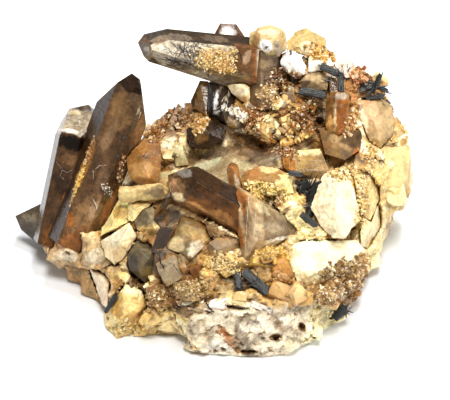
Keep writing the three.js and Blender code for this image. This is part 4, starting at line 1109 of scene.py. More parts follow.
# Each feldspar crystal: its colour and the zones on it.
FELDSPAR_LOOKS = {
    "feldspar_large": (
        "#EFDFBC",
        [
            Zone(21.5, 2, 3.4, 5, "#F0CFA4", -20, 0.7),
            Zone(29, -1, 3, 4, "#EFD8B0", 10, 0.5),
            Zone(21, -6, 3, 4, "#FAF3D0", 0, 0.8),
            Zone(25, -11, 5, 2.4, "#F0DC90", 0, 0.8),
        ],
    ),
    "feldspar_white": (
        "#FBF0C6",
        [Zone(19.5, -16, 4, 8, "#FBF0C0", 0, 0.8), Zone(24.5, -24, 4, 3, "#EBD9A4", 0, 0.8)],
    ),
    "feldspar_upper_right": (
        "#B69868",
        [Zone(44, 27, 2, 5, "#D9A67C", 30, 0.6), Zone(41.5, 24, 1.4, 4, "#EBD8AE", 20, 0.8)],
    ),
    # base and upper zones partly painted shade under the crystal above; cream zone a painted highlight
    "feldspar_front": (
        "#826C44",
        [
            Zone(-7.6, -14, 4.2, 2.2, "#F3E8CA", 30),
            Zone(-9, -9.6, 5, 2, "#A88C56", -20, 0.9),
            Zone(-9.6, -6.4, 5, 1.6, "#76592F", -20, 0.9),
            Zone(-14.4, -13.4, 2.4, 2.4, "#E3CC98", 0, 0.9),
            Zone(-16, -9, 1.6, 3, "#7E6640", -20, 0.8),
            Zone(-5.6, -12, 1.4, 4, "#C9A468", 10, 0.8),
        ],
    ),
    "feldspar_left_upper": (
        "#FFE596",
        [Zone(-34, -8, 2.4, 3, "#F0DC98", 50, 0.8), Zone(-32, -4, 2, 2, "#C9A054", 50, 0.8)],
    ),
    "feldspar_left_lower": (
        "#EBD4A6",
        [Zone(-33, -11, 4, 2.4, "#F9EBCB", 30, 0.8), Zone(-30, -16, 3, 2.4, "#D3B47C", 0, 0.7)],
    ),
    "feldspar_wedge": ("#F6D88E", [Zone(-29.6, -4.0, 3.0, 2.6, "#FFEAA8", 0, 0.8)]),
    "feldspar_finger": (
        "#C0A468",
        [
            Zone(-26, 3.8, 6, 1.2, "#D8BC82", 8, 0.9),
            Zone(-20, 2.4, 2.4, 2, "#7E6640", 0, 0.9),
            Zone(-29, 1.6, 2.4, 1.4, "#E3CC8C", 0, 0.8),
        ],
    ),
    "feldspar_shard": ("#E6D2B4", []),
    "feldspar_lower_left": (
        "#D9B466",
        [
            Zone(-28, -26.5, 4.4, 2.4, "#F0E2B0", -20),
            Zone(-28, -31, 4, 3.4, "#E3C67E", 0, 0.9),
            Zone(-33, -32, 2.4, 3.4, "#C0923E", 20, 0.9),
            Zone(-36, -37, 4.4, 3, "#EBD69A", -10, 0.9),
            Zone(-26.5, -36, 3.4, 2.4, "#B88A3C", 0, 0.8),
        ],
    ),
    # its white spot on top is a painted highlight
    "feldspar_dome": (
        "#CDB47E",
        [
            Zone(12.3, 46.3, 1.9, 1.8, "#FFFFFF"),
            Zone(12.5, 45.9, 0.8, 0.3, "#4A3E34", 20),
            Zone(16.4, 44.8, 1.6, 3.2, "#948676", 28, 0.85),
            Zone(9, 48, 1.2, 3.6, "#A07844", -20, 0.8),
            Zone(10.2, 44.4, 2, 1.2, "#96703E", -30, 0.8),
            Zone(17.4, 48, 1, 2.4, "#B4925C", 10, 0.8),
            Zone(13, 50.6, 3, 1, "#F0E2BC", 0, 0.8),
        ],
    ),
    "feldspar_crown": (
        "#C6AA6C",
        [Zone(29, 43.4, 5, 2.4, "#A87628", -15), Zone(25, 46, 2.4, 2, "#EFE0B8", 0, 0.8)],
    ),
    "feldspar_spotted": (
        "#FFFFFA",
        [
            Zone(16.6, 43, 0.9, 0.6, "#3A2E28"),
            Zone(19.8, 44.6, 0.35, 1.2, "#4A3E34"),
            Zone(22.4, 37.6, 3, 0.9, "#D9B888", -20, 0.7),
        ],
    ),
    "feldspar_clear": ("#F3EAD2", []),
    "feldspar_pink": ("#EBD8C6", []),
    "feldspar_peach": (
        "#9A723C",
        [
            Zone(19.6, 4.6, 4.2, 4, "#EFDD98"),
            Zone(13, 9.4, 3, 1.4, "#D9B880"),
            Zone(8, 8, 2.6, 2.4, "#A8703A", 0, 0.8),
        ],
    ),
    "feldspar_right": ("#F3E4B6", []),
    "feldspar_right_inner": ("#E6CC8C", [Zone(41.0, -4.0, 3.0, 4.0, "#D3A450", 0, 0.7)]),
    "feldspar_right_lower": ("#E6D09C", []),
    "feldspar_left_brown": (
        "#8E602A",
        [Zone(-24.6, 9, 3.4, 2.4, "#BE9054", 0, 0.8), Zone(-22, 14, 2, 2.4, "#7E5226", 0, 0.7)],
    ),
}

# Each quartz crystal: its colour, how cloudy it is, its faces that differ, and the zones on them.
# The faces carry painted light and shade, and some pale zones are painted highlights.
QUARTZ_LOOKS = {
    "smoky_quartz_tall": (
        "#5E4630",
        0.6,
        [
            Facet(-28.6, 35.2, "#20130A", 0.95),
            Facet(-26.1, 28.8, "#6A5542", 0.7),
            Facet(-32.4, 6.8, "#6E5138", 0.65),
            Facet(-43, 11.1, "#33200F", 0.95),
            Facet(-37.8, 9.6, "#644830", 0.65),
        ],
        [
            Zone(-33.4, 21.6, 3, 1, "#8E7050", 60, 0.6, 0.6),
            Zone(-31.6, 15.6, 5.5, 3, "#46321F", 62, 0.85, 0.75),
            Zone(-35.6, 17.6, 3, 1.6, "#8E7052", 62, 0.8, 0.6),
            Zone(-38.4, 10.8, 3.4, 2.2, "#54402C", 60, 0.75, 0.65),
            Zone(-36.8, 6, 3.6, 2, "#82644A", 66, 0.7, 0.65),
            Zone(-33, 8, 3.6, 1.4, "#503A26", 66, 0.8, 0.75),
            Zone(-34.8, 2.4, 2.6, 2, "#5E452C", 60, 0.7, 0.7),
            Zone(-41.4, -5.6, 7.4, 4.4, "#8E6C48", 62, 0.85, 0.75),
            Zone(-39, -3, 3, 1.8, "#B09070", 50, 0.7, 0.75),
            Zone(-45.6, -14, 5, 4, "#8E5A30", 20, 0.9, 0.85),
            Zone(-43, -10, 2.4, 2.2, "#7A4A26", 30, 0.6, 0.8),
            Zone(-34.6, -1.6, 6.6, 1.3, "#A87040", 62, 0.8, 0.85),  # rusty edge
            Zone(-25.6, 21, 4.5, 1.2, "#96693F", 76, 0.8, 0.8),
            Zone(-26, 27, 1.8, 0.3, "#CDBEA8", 70, 0.6, 0.7),
            Zone(-42.2, 10, 7.5, 1.2, "#96652E", 66, 0.85, 0.85),
            Zone(-46.4, -6, 1.2, 2.4, "#8E5424", 0, 0.8, 0.85),
        ],
    ),
    "smoky_quartz_left": (
        "#5E4630",
        0.65,
        [
            Facet(-48.9, 22.5, "#A8997F", 0.7),
            Facet(-43.6, 15.1, "#543C26", 0.75),
            Facet(-53.5, 3.6, "#5E4E3A", 0.85),
            Facet(-44.1, 23.8, "#A29072", 0.75),
            Facet(-49.8, 5.1, "#513A26", 0.75),
        ],
        [
            Zone(-42.8, 28.4, 3.2, 1.6, "#4E3A20", 0, 1, 0.9),
            Zone(-44, 24.6, 2.6, 0.4, "#8A7A62", -8, 0.7, 0.8),
            Zone(-43.6, 23, 2.8, 0.35, "#76644C", -8, 0.7, 0.8),
            Zone(-44.6, 21.4, 3, 0.4, "#8A765A", -10, 0.7, 0.8),
            Zone(-41.6, 20.4, 1.8, 1.6, "#9A8468", -20, 0.7, 0.8),
            Zone(-46.8, 20.8, 3.4, 0.6, "#EFE6D6", -8, 0.8, 0.85),
            Zone(-46, 26.6, 2.6, 0.7, "#D9C290", -4, 0.7, 0.8),
            Zone(-45.6, 17.2, 4.8, 2.2, "#140D08", -8, 1, 0.95),  # black band under the end face
            Zone(-46.6, 12.2, 3.6, 1.6, "#765636", -8, 0.8, 0.8),
            Zone(-48.6, 5.4, 3.2, 4.6, "#34241A", 10, 0.8, 0.8),
            Zone(-46.2, 3, 1.2, 4, "#7A583A", -6, 0.7, 0.8),
            Zone(-48, 0.4, 1, 1.6, "#9A5E2C", 0, 0.8, 0.9),
            Zone(-50.6, -5, 2.6, 3.4, "#3E2C1E", 0, 0.7, 0.8),
            Zone(-51, -11, 4.4, 4, "#6E4420", 0, 0.95, 0.9),
            Zone(-55.6, 2, 0.8, 7, "#6A5E50", -12, 0.6, 0.8),
        ],
    ),
    "smoky_quartz_top": (
        "#D3C6B2",
        0.45,
        [
            Facet(-23.8, 45.3, "#4A3826", 0.85),
            Facet(-21.8, 48.8, "#33271C", 0.9),
            Facet(-5.2, 48.4, "#3A2C1E", 0.85),
            Facet(-8.8, 39.1, "#A8957A", 0.6),
            Facet(-3.1, 42.9, "#DCCDB4", 0.6),
        ],
        [
            Zone(-23.6, 45.4, 0.9, 0.8, "#A89A84", 0, 0.8, 0.7),
            Zone(-21.4, 41.8, 1.6, 1.3, "#4E3A26", 0, 0.95, 0.85),
            Zone(-24.4, 46.9, 1.6, 0.9, "#54402C", 0, 0.9, 0.85),
            Zone(-18, 43.6, 3.4, 2.6, "#EFE6D3", 0, 0.7, 0.7),
            Zone(-12.5, 43, 3.4, 3, "#A59A88", 0, 0.5, 0.6),
            Zone(-14, 49, 4.4, 1.1, "#8A7A68", -6, 0.7, 0.7),
            Zone(-3, 48.6, 4, 1, "#7E6C5A", -6, 0.6, 0.7),
            Zone(-2.4, 41.6, 7, 4, "#B08A50", -12, 0.75, 0.8),
            Zone(-6, 37.6, 4.4, 1, "#D9CDB6", -12, 0.7, 0.7),
            Zone(5.4, 41.2, 3.4, 5.4, "#5E4026", 0, 1, 0.85),  # brown root
            Zone(3, 37.6, 4.4, 1.6, "#76603E", -10, 0.85, 0.8),
            Zone(6.6, 43, 1, 2, "#B5987A", -20, 0.7, 0.8),
        ],
    ),
    "smoky_quartz_column": (
        "#523C26",
        0.85,
        [
            Facet(9.6, 33.6, "#6A5034", 0.85),
            Facet(16.2, 36.4, "#36240F", 0.9),
            Facet(13, 35.5, "#503A24", 0.85),
        ],
        [
            Zone(11.6, 40.8, 3, 1.4, "#8E7450", 10, 0.7, 0.85),
            Zone(14.6, 36, 1, 4, "#3E2C1A", 0, 0.7, 0.85),
            Zone(12.6, 32.4, 3, 1.8, "#A88C5C", 0, 0.8, 0.85),
            Zone(10.6, 36.4, 1, 2.4, "#8E7452", 0, 0.6, 0.8),
        ],
    ),
    # its white spot is painted light: the bright backdrop seen through it
    "smoky_quartz_back": ("#644630", 0.65, [], [Zone(0.9, 51.0, 2.3, 1.6, "#FFFFFF", 0, 1.0, 0.5)]),
    # its white and pale zones are painted reflections of the lights
    "smoky_quartz_shining": (
        "#3A2D22",
        0.75,
        [
            Facet(1.9, 31.6, "#544638", 0.7),
            Facet(-4.2, 30.8, "#2A1F16", 0.85),
            Facet(0.8, 26.6, "#5E5040", 0.8),
            Facet(0.4, 30.6, "#33281E", 0.8),
        ],
        [
            Zone(-2.7, 30.4, 3, 0.5, "#FFFFFF", 82, 1, 0.95),
            Zone(-0.6, 28, 1.4, 0.5, "#F4F0EA", 55, 0.9, 0.95),
            Zone(0.8, 31.4, 1.8, 0.4, "#B5A894", 60, 0.8, 0.9),
            Zone(-2.4, 26.6, 1.2, 0.5, "#FFFFFF", 20, 0.9, 0.95),
            Zone(-1.4, 33.4, 1.4, 0.4, "#8A7C6A", 70, 0.8, 0.9),
        ],
    ),
    "smoky_quartz_amber": (
        "#745228", 0.75, [Facet(-9.2, 31.0, "#4A3216", 0.85)], [Zone(-7.2, 33.0, 1.4, 2.6, "#A07C46", 0, 0.7, 0.75)]
    ),
    "smoky_quartz_low": (
        "#382818",
        0.8,
        [Facet(-6.8, 20.8, "#4E3A24", 0.8), Facet(-8.2, 22.3, "#64503A", 0.8), Facet(-3.8, 17.7, "#2A1D12", 0.9)],
        [Zone(-7, 18.6, 2, 1.2, "#8A6438", 20, 0.7, 0.8), Zone(-2, 21.6, 1.6, 2, "#241810", 20, 0.8, 0.9)],
    ),
    "golden_quartz": (
        "#FFD9A0",
        0.9,
        [],
        [Zone(4.4, 33.4, 3, 2, "#FFEBC4", 0, 0.9, 0.9), Zone(3.4, 30, 3, 1.2, "#A06E38", 0, 0.8, 0.9)],
    ),
    "smoky_quartz_middle": (
        "#7A583A",
        0.65,
        [
            Facet(-13, 4.5, "#6E5236", 0.7),
            Facet(-2.9, 4.6, "#3E2E22", 0.8),
            Facet(-3, -1.6, "#6A4424", 0.75),
            Facet(-6.3, -4.5, "#744A28", 0.8),
        ],
        [
            Zone(-8, 7, 8.6, 3.8, "#38230F", -24, 0.9, 0.85),  # the dark upper side
            # the pale grey zone on its upper left is a painted sheen
            Zone(-12.4, 8.2, 3, 1.2, "#A0968A", -12, 0.85, 0.7),
            Zone(-13.8, 0.8, 1.9, 1.2, "#E9CFA0", -40, 1, 0.85),
            Zone(-9, 2, 3.4, 1.4, "#3E2C1E", -26, 0.85, 0.8),
            Zone(-2.4, -0.4, 4.4, 1.3, "#4E3624", -26, 0.75, 0.8),
            Zone(-9, -2, 3, 1.2, "#9C7040", -28, 0.85, 0.8),
            Zone(-1, -5, 4, 1.6, "#96683A", -26, 0.8, 0.8),
            Zone(-5, -5.4, 6, 0.5, "#5E3A1C", -36, 0.8, 0.9),
            Zone(-0.6, 6.2, 3.4, 0.7, "#6E5E50", -28, 0.7, 0.7),
            Zone(-15.6, 4.2, 1.2, 1.8, "#B0845A", 0, 0.7, 0.8),
        ],
    ),
    "quartz_point_middle": (
        "#B59874",
        0.8,
        [
            Facet(4.6, 0.9, "#9A6A3A", 0.85),
            Facet(5.8, -10.2, "#A08464", 0.8),
            Facet(6.3, -3.6, "#A2784A", 0.8),
            Facet(7.5, 0.4, "#B08A5E", 0.85),
            Facet(9.2, -3.8, "#C2A680", 0.8),
            Facet(11.4, -7.2, "#B5A080", 0.8),
            Facet(14.7, -6, "#948060", 0.85),
            Facet(18, -8.8, "#8A7654", 0.85),
            Facet(12.3, -14.1, "#D9C698", 0.85),
            Facet(17.7, -11.1, "#EEE4CC", 0.9),
            Facet(7.8, -13.2, "#A88C64", 0.85),
            Facet(9.6, -14.2, "#BFA278", 0.85),
            Facet(11.4, -0.9, "#D3B584", 0.85),
        ],
        [
            Zone(3.4, -3, 1, 5, "#8E5A2C", 10, 0.8, 0.85),
            Zone(4.8, -5, 0.6, 5, "#D9BC8C", 8, 0.8, 0.8),
            Zone(6.6, -8, 0.7, 5, "#8A6C4A", 10, 0.7, 0.8),
            Zone(9.4, -8, 1.6, 3.4, "#CDB68E", 6, 0.7, 0.8),
            Zone(17, -11.4, 4.4, 0.4, "#F3EAD6", 10, 1, 0.95),
            Zone(14.4, -8.4, 3, 1.6, "#A8977A", -20, 0.6, 0.85),
            Zone(17, -7, 2.4, 1.6, "#7E6E58", -20, 0.6, 0.85),
            Zone(11, -2.4, 2.6, 1.2, "#E3CFA0", -40, 0.7, 0.85),
        ],
    ),
    "orange_quartz_small": (
        "#A8713E", 0.75, [],
        [Zone(3.4, 5.6, 0.7, 2, "#E0CFB0", 10, 0.8, 0.8), Zone(2, 10.6, 1.2, 0.6, "#7E5026", 0, 0.8, 0.8)],
    ),
    "smoky_quartz_upper": (
        "#8E7654", 0.85, [Facet(23.8, 34.9, "#54422E", 0.9)], [Zone(27.0, 36.6, 3.0, 1.0, "#BFA57C", -8, 0.8, 0.85)]
    ),
    "smoky_quartz_stub": ("#6A5038", 0.8, [], []),
    "orange_quartz_upper": (
        "#AE7040",
        0.8,
        [
            Facet(31.6, 27.4, "#8A5E30", 0.8),
            Facet(34.8, 27, "#875022", 0.9),
            Facet(36.9, 26.7, "#A87444", 0.8),
            Facet(32.4, 21.1, "#B57E40", 0.8),
            Facet(35.5, 20.7, "#A86838", 0.8),
        ],
        [
            Zone(34.9, 31.2, 2.4, 1, "#B0A490", 0, 0.85, 0.85),
            Zone(34, 28.4, 1.8, 0.6, "#A8805A", 0, 0.6, 0.85),
            Zone(31.6, 22.6, 0.8, 3, "#E0B068", 0, 0.8, 0.8),
            Zone(33, 24.6, 0.5, 4, "#E6C79A", 0, 0.7, 0.8),
            Zone(35.6, 24, 1, 2.4, "#96562A", 0, 0.7, 0.8),
        ],
    ),
    "striated_quartz": (
        "#9A7A4A",
        0.8,
        [
            Facet(22.2, 14.4, "#D9BC80", 0.8),
            Facet(18.8, 10.9, "#BC7E3C", 0.85),
            Facet(19.9, 12, "#C9904E", 0.85),
            Facet(27.1, 10.9, "#94744A", 0.8),
            Facet(23.7, 12.3, "#A88850", 0.8),
        ],
        [
            Zone(19.6, 11.4, 1.4, 3.6, "#C08440", 0, 0.9, 0.85),
            Zone(24, 14.6, 5, 1.4, "#F3E0A4", 0, 0.9, 0.8),
            Zone(28.4, 10, 2.4, 2.6, "#A88A60", 0, 0.6, 0.8),
        ],
    ),
    "grey_quartz_upper": (
        "#735632",
        0.85,
        [Facet(33.1, 14.5, "#80623A", 0.85), Facet(38.1, 18, "#5E462A", 0.85), Facet(30.6, 17.7, "#7A5A34", 0.85)],
        [
            Zone(40, 13.8, 1.4, 1.4, "#D07A38", 0, 0.9, 0.8),
            Zone(33, 18.6, 2.4, 1.4, "#B59464", 0, 0.7, 0.8),
            Zone(36, 16, 2.4, 0.8, "#C09A62", -30, 0.7, 0.8),
            Zone(30, 15, 1.6, 2, "#6A4A28", 0, 0.7, 0.85),
        ],
    ),
    "grey_quartz_knob_upper": (
        "#7A6A4C",
        0.9,
        [],
        [
            Zone(-21.6, -5, 3.4, 2.6, "#8E7E60", 0, 0.8, 0.9),
            Zone(-24.4, -5, 1.6, 2.4, "#5C4E38", 0, 0.8, 0.9),
            Zone(-23, -9.4, 4.4, 2, "#C2A264", 5, 0.9, 0.9),
            Zone(-20, -8.4, 1.6, 1.4, "#D9C08A", 0, 0.8, 0.9),
        ],
    ),
    "grey_quartz_knob_lower": (
        "#5E5038",
        0.9,
        [],
        [
            Zone(-25, -14.4, 3.4, 1.8, "#6E6044", 0, 0.8, 0.9),
            Zone(-23, -18, 1.8, 2.6, "#64583E", 0, 0.7, 0.9),
            Zone(-22.8, -21.6, 2.2, 1.8, "#8E7848", 0, 0.8, 0.9),
            Zone(-27.4, -19.6, 1.6, 3, "#3A3020", 0, 0.85, 0.9),
            Zone(-21.4, -16, 1, 1.6, "#8A7854", 0, 0.7, 0.9),
        ],
    ),
    "smoky_quartz_wing": (
        "#4E4334",
        0.92,
        [],
        [
            Zone(-59.5, -5.4, 2.4, 1.2, "#7A6C56", -20, 0.8, 0.92),
            Zone(-60, -9, 3, 1.6, "#3A3024", -20, 0.7, 0.92),
        ],
    ),
    "grey_quartz_right_edge": ("#8E8070", 0.85, [], [Zone(48.0, -8.0, 1.6, 1.2, "#5E5244", 0, 0.8, 0.9)]),
}
# The flat-sided panels that show inside some crystals.
# They are partly painted reflections of the crystals' inner faces.
PANELS = {
    "smoky_quartz_tall": [
        Panel("#52402F", 0.75, [(-31.4, 35.0), (-29.0, 33.0), (-32.4, 31.6), (-38.4, 17.6), (-39.6, 20.6)]),
        Panel("#755838", 0.75, [(-33.0, 32.0), (-29.6, 32.6), (-27.6, 27.2), (-28.4, 22.2), (-36.8, 19.2)]),
        Panel(
            "#6E5840", 0.6,
            [(-29.4, 32.0), (-25.4, 31.4), (-23.8, 22.0), (-26.4, 15.2), (-29.6, 16.4), (-27.6, 27.2)],
        ),
        Panel(
            "#1E120A", 0.95,
            [(-27.7, 38.4), (-24.9, 34.0), (-25.0, 31.4), (-29.6, 32.5), (-31.4, 35.0), (-29.9, 36.8)],
        ),
    ],
    "smoky_quartz_top": [
        Panel("#5A3E26", 0.85, [(-26.6, 47.4), (-24.2, 50.0), (-22.8, 47.6), (-24.0, 43.6)]),
        Panel("#8E7860", 0.7, [(-22.8, 48.0), (-19.8, 49.6), (-16.0, 48.6), (-20.4, 46.6)]),
        Panel("#74492A", 0.9, [(3.0, 47.2), (9.8, 46.4), (9.8, 33.4), (3.0, 35.0)]),
    ],
    "smoky_quartz_middle": [
        Panel("#8E6C48", 0.7, [(-15.8, 8.4), (-12.0, 9.0), (-10.6, 6.4), (-13.4, -1.0), (-15.2, 2.2)]),
        Panel("#A87648", 0.7, [(-12.0, -0.4), (-4.0, -3.6), (1.6, -8.6), (1.6, -10.6), (-8.4, -5.8)]),
    ],
    "quartz_point_middle": [
        Panel("#9A5E2C", 0.75, [(2.4, 3.4), (6.8, 1.4), (6.2, -12.0), (4.6, -15.0), (1.6, -6.0)]),
        Panel("#CDAA7C", 0.6, [(6.8, 1.4), (11.2, -1.0), (11.6, -12.0), (6.0, -18.6), (5.4, -10.0)]),
        Panel("#8A7254", 0.7, [(11.2, -1.0), (22.8, -10.6), (18.0, -12.0), (11.6, -12.0)]),
    ],
}
# What each kind of quartz absorbs on the way through: the colour that passes, and how strongly. Then how rough its
# smoothest and roughest spots are.
QUARTZ_KINDS = {
    "smoky_quartz": ((0.66, 0.47, 0.30, 1.0), 200.0, 0.03, 0.25),
    "clear_quartz": ((0.82, 0.72, 0.58, 1.0), 50.0, 0.05, 0.3),
    "amber_quartz": ((0.86, 0.62, 0.34, 1.0), 140.0, 0.05, 0.3),
    "grey_quartz": ((0.72, 0.62, 0.48, 1.0), 150.0, 0.3, 0.55),
}
# Crystals whose panels and zones need smaller faces to carry them.
FINE_CRYSTALS = ("smoky_quartz_tall", "smoky_quartz_left", "smoky_quartz_top", "smoky_quartz_middle")

# The sprays of aegirine needles.
SPRAYS = [
    Spray(-15.3, 42, -0.12, 14, 4.4, 0.28),  # in the face of the top crystal
    Spray(-12.6, 45, -0.12, 18, 4.2, 0.28),
    Spray(-10.5, 42, -0.12, 18, 4.6, 0.28),
    Spray(-13.5, 40.5, -0.12, 10, 4, 0.26),
    Spray(-8.4, 45.9, -0.12, 14, 4, 0.26),
    Spray(-7.2, 42.9, -0.12, 10, 3.6, 0.2),
    Spray(-5.1, 47.1, -0.12, 10, 3.4, 0.18),
    Spray(-3.9, 42, -0.12, 8, 3.4, 0.18),
    Spray(-11.7, 47.4, -0.12, 8, 3.4, 0.18),
    Spray(-16.5, 44.4, -0.12, 5, 3, 0.18),
    Spray(-30.4, 18.6, -0.1, 12, 1.3, 0.18),  # specks in the tall crystal
    Spray(-29.4, 15.6, -0.1, 10, 1.1, 0.18),
    Spray(-31.6, 13.4, -0.1, 8, 1.1, 0.18),
    Spray(-10.5, 37.2, 0.5, 7, 2.2, 0.24),  # tuft below it
    Spray(44.6, 34, 0.5, 24, 5, 0.5),  # upper right
    Spray(41.6, 37, 0.5, 16, 3.8, 0.42),
    Spray(46.8, 30, 0.5, 12, 3.8, 0.42),
    Spray(32.4, 43.2, 0.2, 12, 2.4, 0.4),  # top edge
    Spray(31.2, 36, 0.2, 12, 3.4, 0.5),
    Spray(35.4, 38.2, 0.2, 10, 2.8, 0.4),
    Spray(24.6, 2.4, 0.6, 30, 4.2, 0.8),  # black patch
    Spray(25.2, -1.4, 0.6, 22, 3.6, 0.7),
    Spray(22.6, 4.6, 0.4, 14, 3, 0.6),
    Spray(36, -33, 0.5, 18, 2.8, 0.7),
    Spray(4.2, -25.4, 0.3, 18, 3, 0.5),
    Spray(9.6, -25.6, 0.3, 16, 3.6, 0.5),
    Spray(-7.5, -45, 0, 2, 2.4, 0.4),
    Spray(-24.6, 12.4, 0.2, 8, 2.4, 0.35),
    Spray(-22.6, 3, 0.2, 5, 1.8, 0.3),
    Spray(46.4, 12, 0.2, 10, 3.2, 0.4),
    Spray(50, 17, 0.2, 10, 3.4, 0.4),
    Spray(37, 39, 0.2, 8, 2.6, 0.35),
    Spray(26.4, -11.4, 0.2, 10, 2.6, 0.4),
    Spray(-58.2, 7, 0, 3, 1.8, 0.5),
]

# Thin lines, each kind with its colour and roughness.
# The pale lines are healed cracks and painted glints; the wide dark ones on the rock are painted shade in its slits.
STREAKS = {
    "healed_crack_and_painted_glint": (
        "#D9CCB8",
        0.3,
        [
            Streak(0.12, [(-39.8, 8.4), (-39.0, 9.3), (-37.0, 10.3), (-34.8, 10.6)]),
            Streak(0.096, [(-39.7, 8.7), (-39.6, 6.8)]),
            Streak(0.24, [(-37.2, 4.8), (-36.8, 3.4), (-35.9, 2.4), (-34.6, 1.2)]),
            Streak(0.27, [(-34.4, 3.2), (-33.8, 2.4), (-34.4, 1.4), (-33.8, 0.6)]),
            Streak(0.18, [(-36.8, 3.2), (-36.0, 3.6), (-35.2, 3.0)]),
            Streak(0.12, [(-39.8, 0.8), (-39.4, -0.2)]),
            Streak(0.3, [(-39.5, 0.0), (-38.9, -1.4), (-38.4, -2.8)]),
            Streak(0.12, [(-38.5, -2.6), (-38.0, -3.6)]),
            Streak(0.16, [(-26.0, 27.6), (-25.3, 26.2), (-25.9, 24.2)]),
            Streak(0.084, [(-50.6, 11.4), (-49.2, 9.0), (-47.6, 8.4), (-46.2, 9.0)]),
            Streak(0.084, [(-49.2, 9.0), (-49.6, 7.2), (-48.6, 6.0)]),
            # painted glints on the shining crystal
            Streak(0.24, [(-3.4, 32.4), (-3.1, 30.6), (-2.4, 29.2), (-2.7, 27.8)]),
            Streak(0.3, [(0.9, 33.2), (1.3, 32.4), (1.2, 31.9)]),
            Streak(0.34, [(0.4, 30.0), (0.9, 29.5), (0.7, 29.0)]),
            Streak(0.24, [(-2.2, 27.4), (-1.4, 28.4), (-0.2, 28.6)]),
            Streak(0.18, [(-1.0, 29.8), (-0.4, 30.8), (0.4, 31.6)]),
            Streak(0.16, [(13.6, -11.8), (16.4, -11.2), (21.0, -11.2)]),
            Streak(0.11, [(19.4, 11.4), (19.1, 9.8), (19.0, 8.0)]),
            Streak(0.096, [(22.6, 6.4), (21.6, 9.4), (21.0, 13.4)]),
            Streak(0.1, [(-16.6, 4.0), (-15.8, 2.0), (-14.6, 0.4)]),
            Streak(0.2, [(6.9, 0.8), (6.5, -7.0), (6.0, -15.0)]),
            Streak(0.12, [(9.4, -0.6), (9.0, -6.0), (8.2, -13.0)]),
            Streak(0.12, [(22.4, 13.6), (28.4, 13.0)]),
            Streak(0.12, [(21.8, 12.2), (29.0, 11.6)]),
            Streak(0.12, [(22.0, 10.9), (29.4, 10.2)]),
            Streak(0.12, [(22.2, 9.4), (29.6, 8.8)]),
            Streak(0.2, [(20.4, 14.8), (21.0, 11.0), (21.8, 7.4)]),
            Streak(0.2, [(29.0, 15.0), (30.2, 11.0), (31.0, 7.6)]),
        ],
    ),
    "dark_crack_and_slit_shade": (
        "#20150E",
        0.6,
        [
            Streak(0.14, [(-49.2, 22.6), (-46.6, 23.2), (-43.0, 22.8)]),  # lines across the left end face
            Streak(0.12, [(-48.6, 24.0), (-45.8, 24.5), (-42.6, 24.2)]),
            Streak(0.12, [(-47.8, 25.4), (-45.0, 25.7), (-42.8, 25.5)]),
            Streak(0.16, [(-48.0, 22.0), (-45.6, 22.2), (-42.8, 21.8)]),
            Streak(0.12, [(-46.4, 27.2), (-44.6, 27.4), (-43.0, 27.1)]),
            Streak(0.2, [(-48.0, 12.9), (-46.4, 12.2), (-45.0, 12.0)]),
            Streak(0.18, [(-47.4, 10.2), (-45.8, 10.5), (-44.7, 11.4)]),
            Streak(0.18, [(-49.5, 7.0), (-48.8, 4.6), (-47.4, 2.7)]),
            Streak(0.18, [(-35.7, 15.3), (-33.6, 16.0), (-31.8, 17.4)]),
            Streak(0.2, [(-33.9, 13.5), (-32.2, 12.7), (-30.6, 12.9)]),
            Streak(0.16, [(-36.6, 20.4), (-35.0, 20.6), (-33.6, 21.6)]),
            Streak(0.24, [(-31.2, 9.6), (-30.0, 11.0), (-29.4, 13.2)]),
            Streak(0.18, [(-40.8, -1.8), (-39.6, -1.9), (-38.7, -2.7)]),
            Streak(0.5, [(-20.0, -15.6), (-19.2, -18.4), (-17.6, -21.4)]),
            Streak(0.3, [(-17.6, -18.4), (-15.4, -19.2), (-13.6, -21.6)]),
            Streak(0.35, [(-14.2, -17.4), (-13.8, -19.8), (-12.6, -22.2)]),
            # painted shade in the slits along the wall's top
            Streak(0.6, [(-19.0, -32.0), (-16.8, -32.2), (-14.4, -33.4)]),
            Streak(0.7, [(-7.5, -27.9), (-6.0, -29.4), (-4.8, -31.6), (-3.3, -33.0)]),
            Streak(0.6, [(0.0, -31.0), (3.4, -32.2), (7.0, -32.4)]),
            Streak(0.6, [(-13.2, -31.2), (-10.6, -31.4), (-8.4, -32.2)]),
            Streak(0.5, [(-0.6, 39.6), (3.6, 38.4), (8.1, 37.3)]),
            Streak(0.5, [(3.6, 46.4), (4.6, 43.6), (5.2, 41.4)]),
            Streak(0.5, [(-5.6, 39.6), (-4.8, 36.4)]),
            Streak(0.26, [(-18.4, 45.4), (-12.6, 43.6)]),
            Streak(0.26, [(-16.2, 40.8), (-12.8, 42.6)]),
            Streak(0.3, [(-13.6, 46.2), (-10.4, 40.8)]),
            Streak(0.28, [(-12.2, 44.8), (-7.6, 44.0)]),
            Streak(0.28, [(-11.2, 43.4), (-7.8, 40.8)]),
            Streak(0.2, [(-3.0, -4.6), (0.0, -6.2), (2.4, -7.4)]),
        ],
    ),
    "iron_seam": (
        "#8E5A26",
        0.6,
        [
            Streak(0.36, [(-30.6, 5.4), (-32.6, 0.6), (-35.1, -4.2)]),
            Streak(0.3, [(-29.4, 8.4), (-31.2, 4.8)]),
            Streak(0.26, [(-25.5, 23.4), (-26.6, 18.0), (-28.2, 12.6)]),
            Streak(0.3, [(-46.8, -3.6), (-47.8, -7.6), (-48.6, -11.4)]),
            Streak(0.8, [(-2.7, -38.7), (-0.8, -40.6), (1.2, -43.2)]),
            Streak(0.7, [(0.6, -42.3), (2.6, -44.0), (4.2, -46.2)]),
        ],
    ),
}


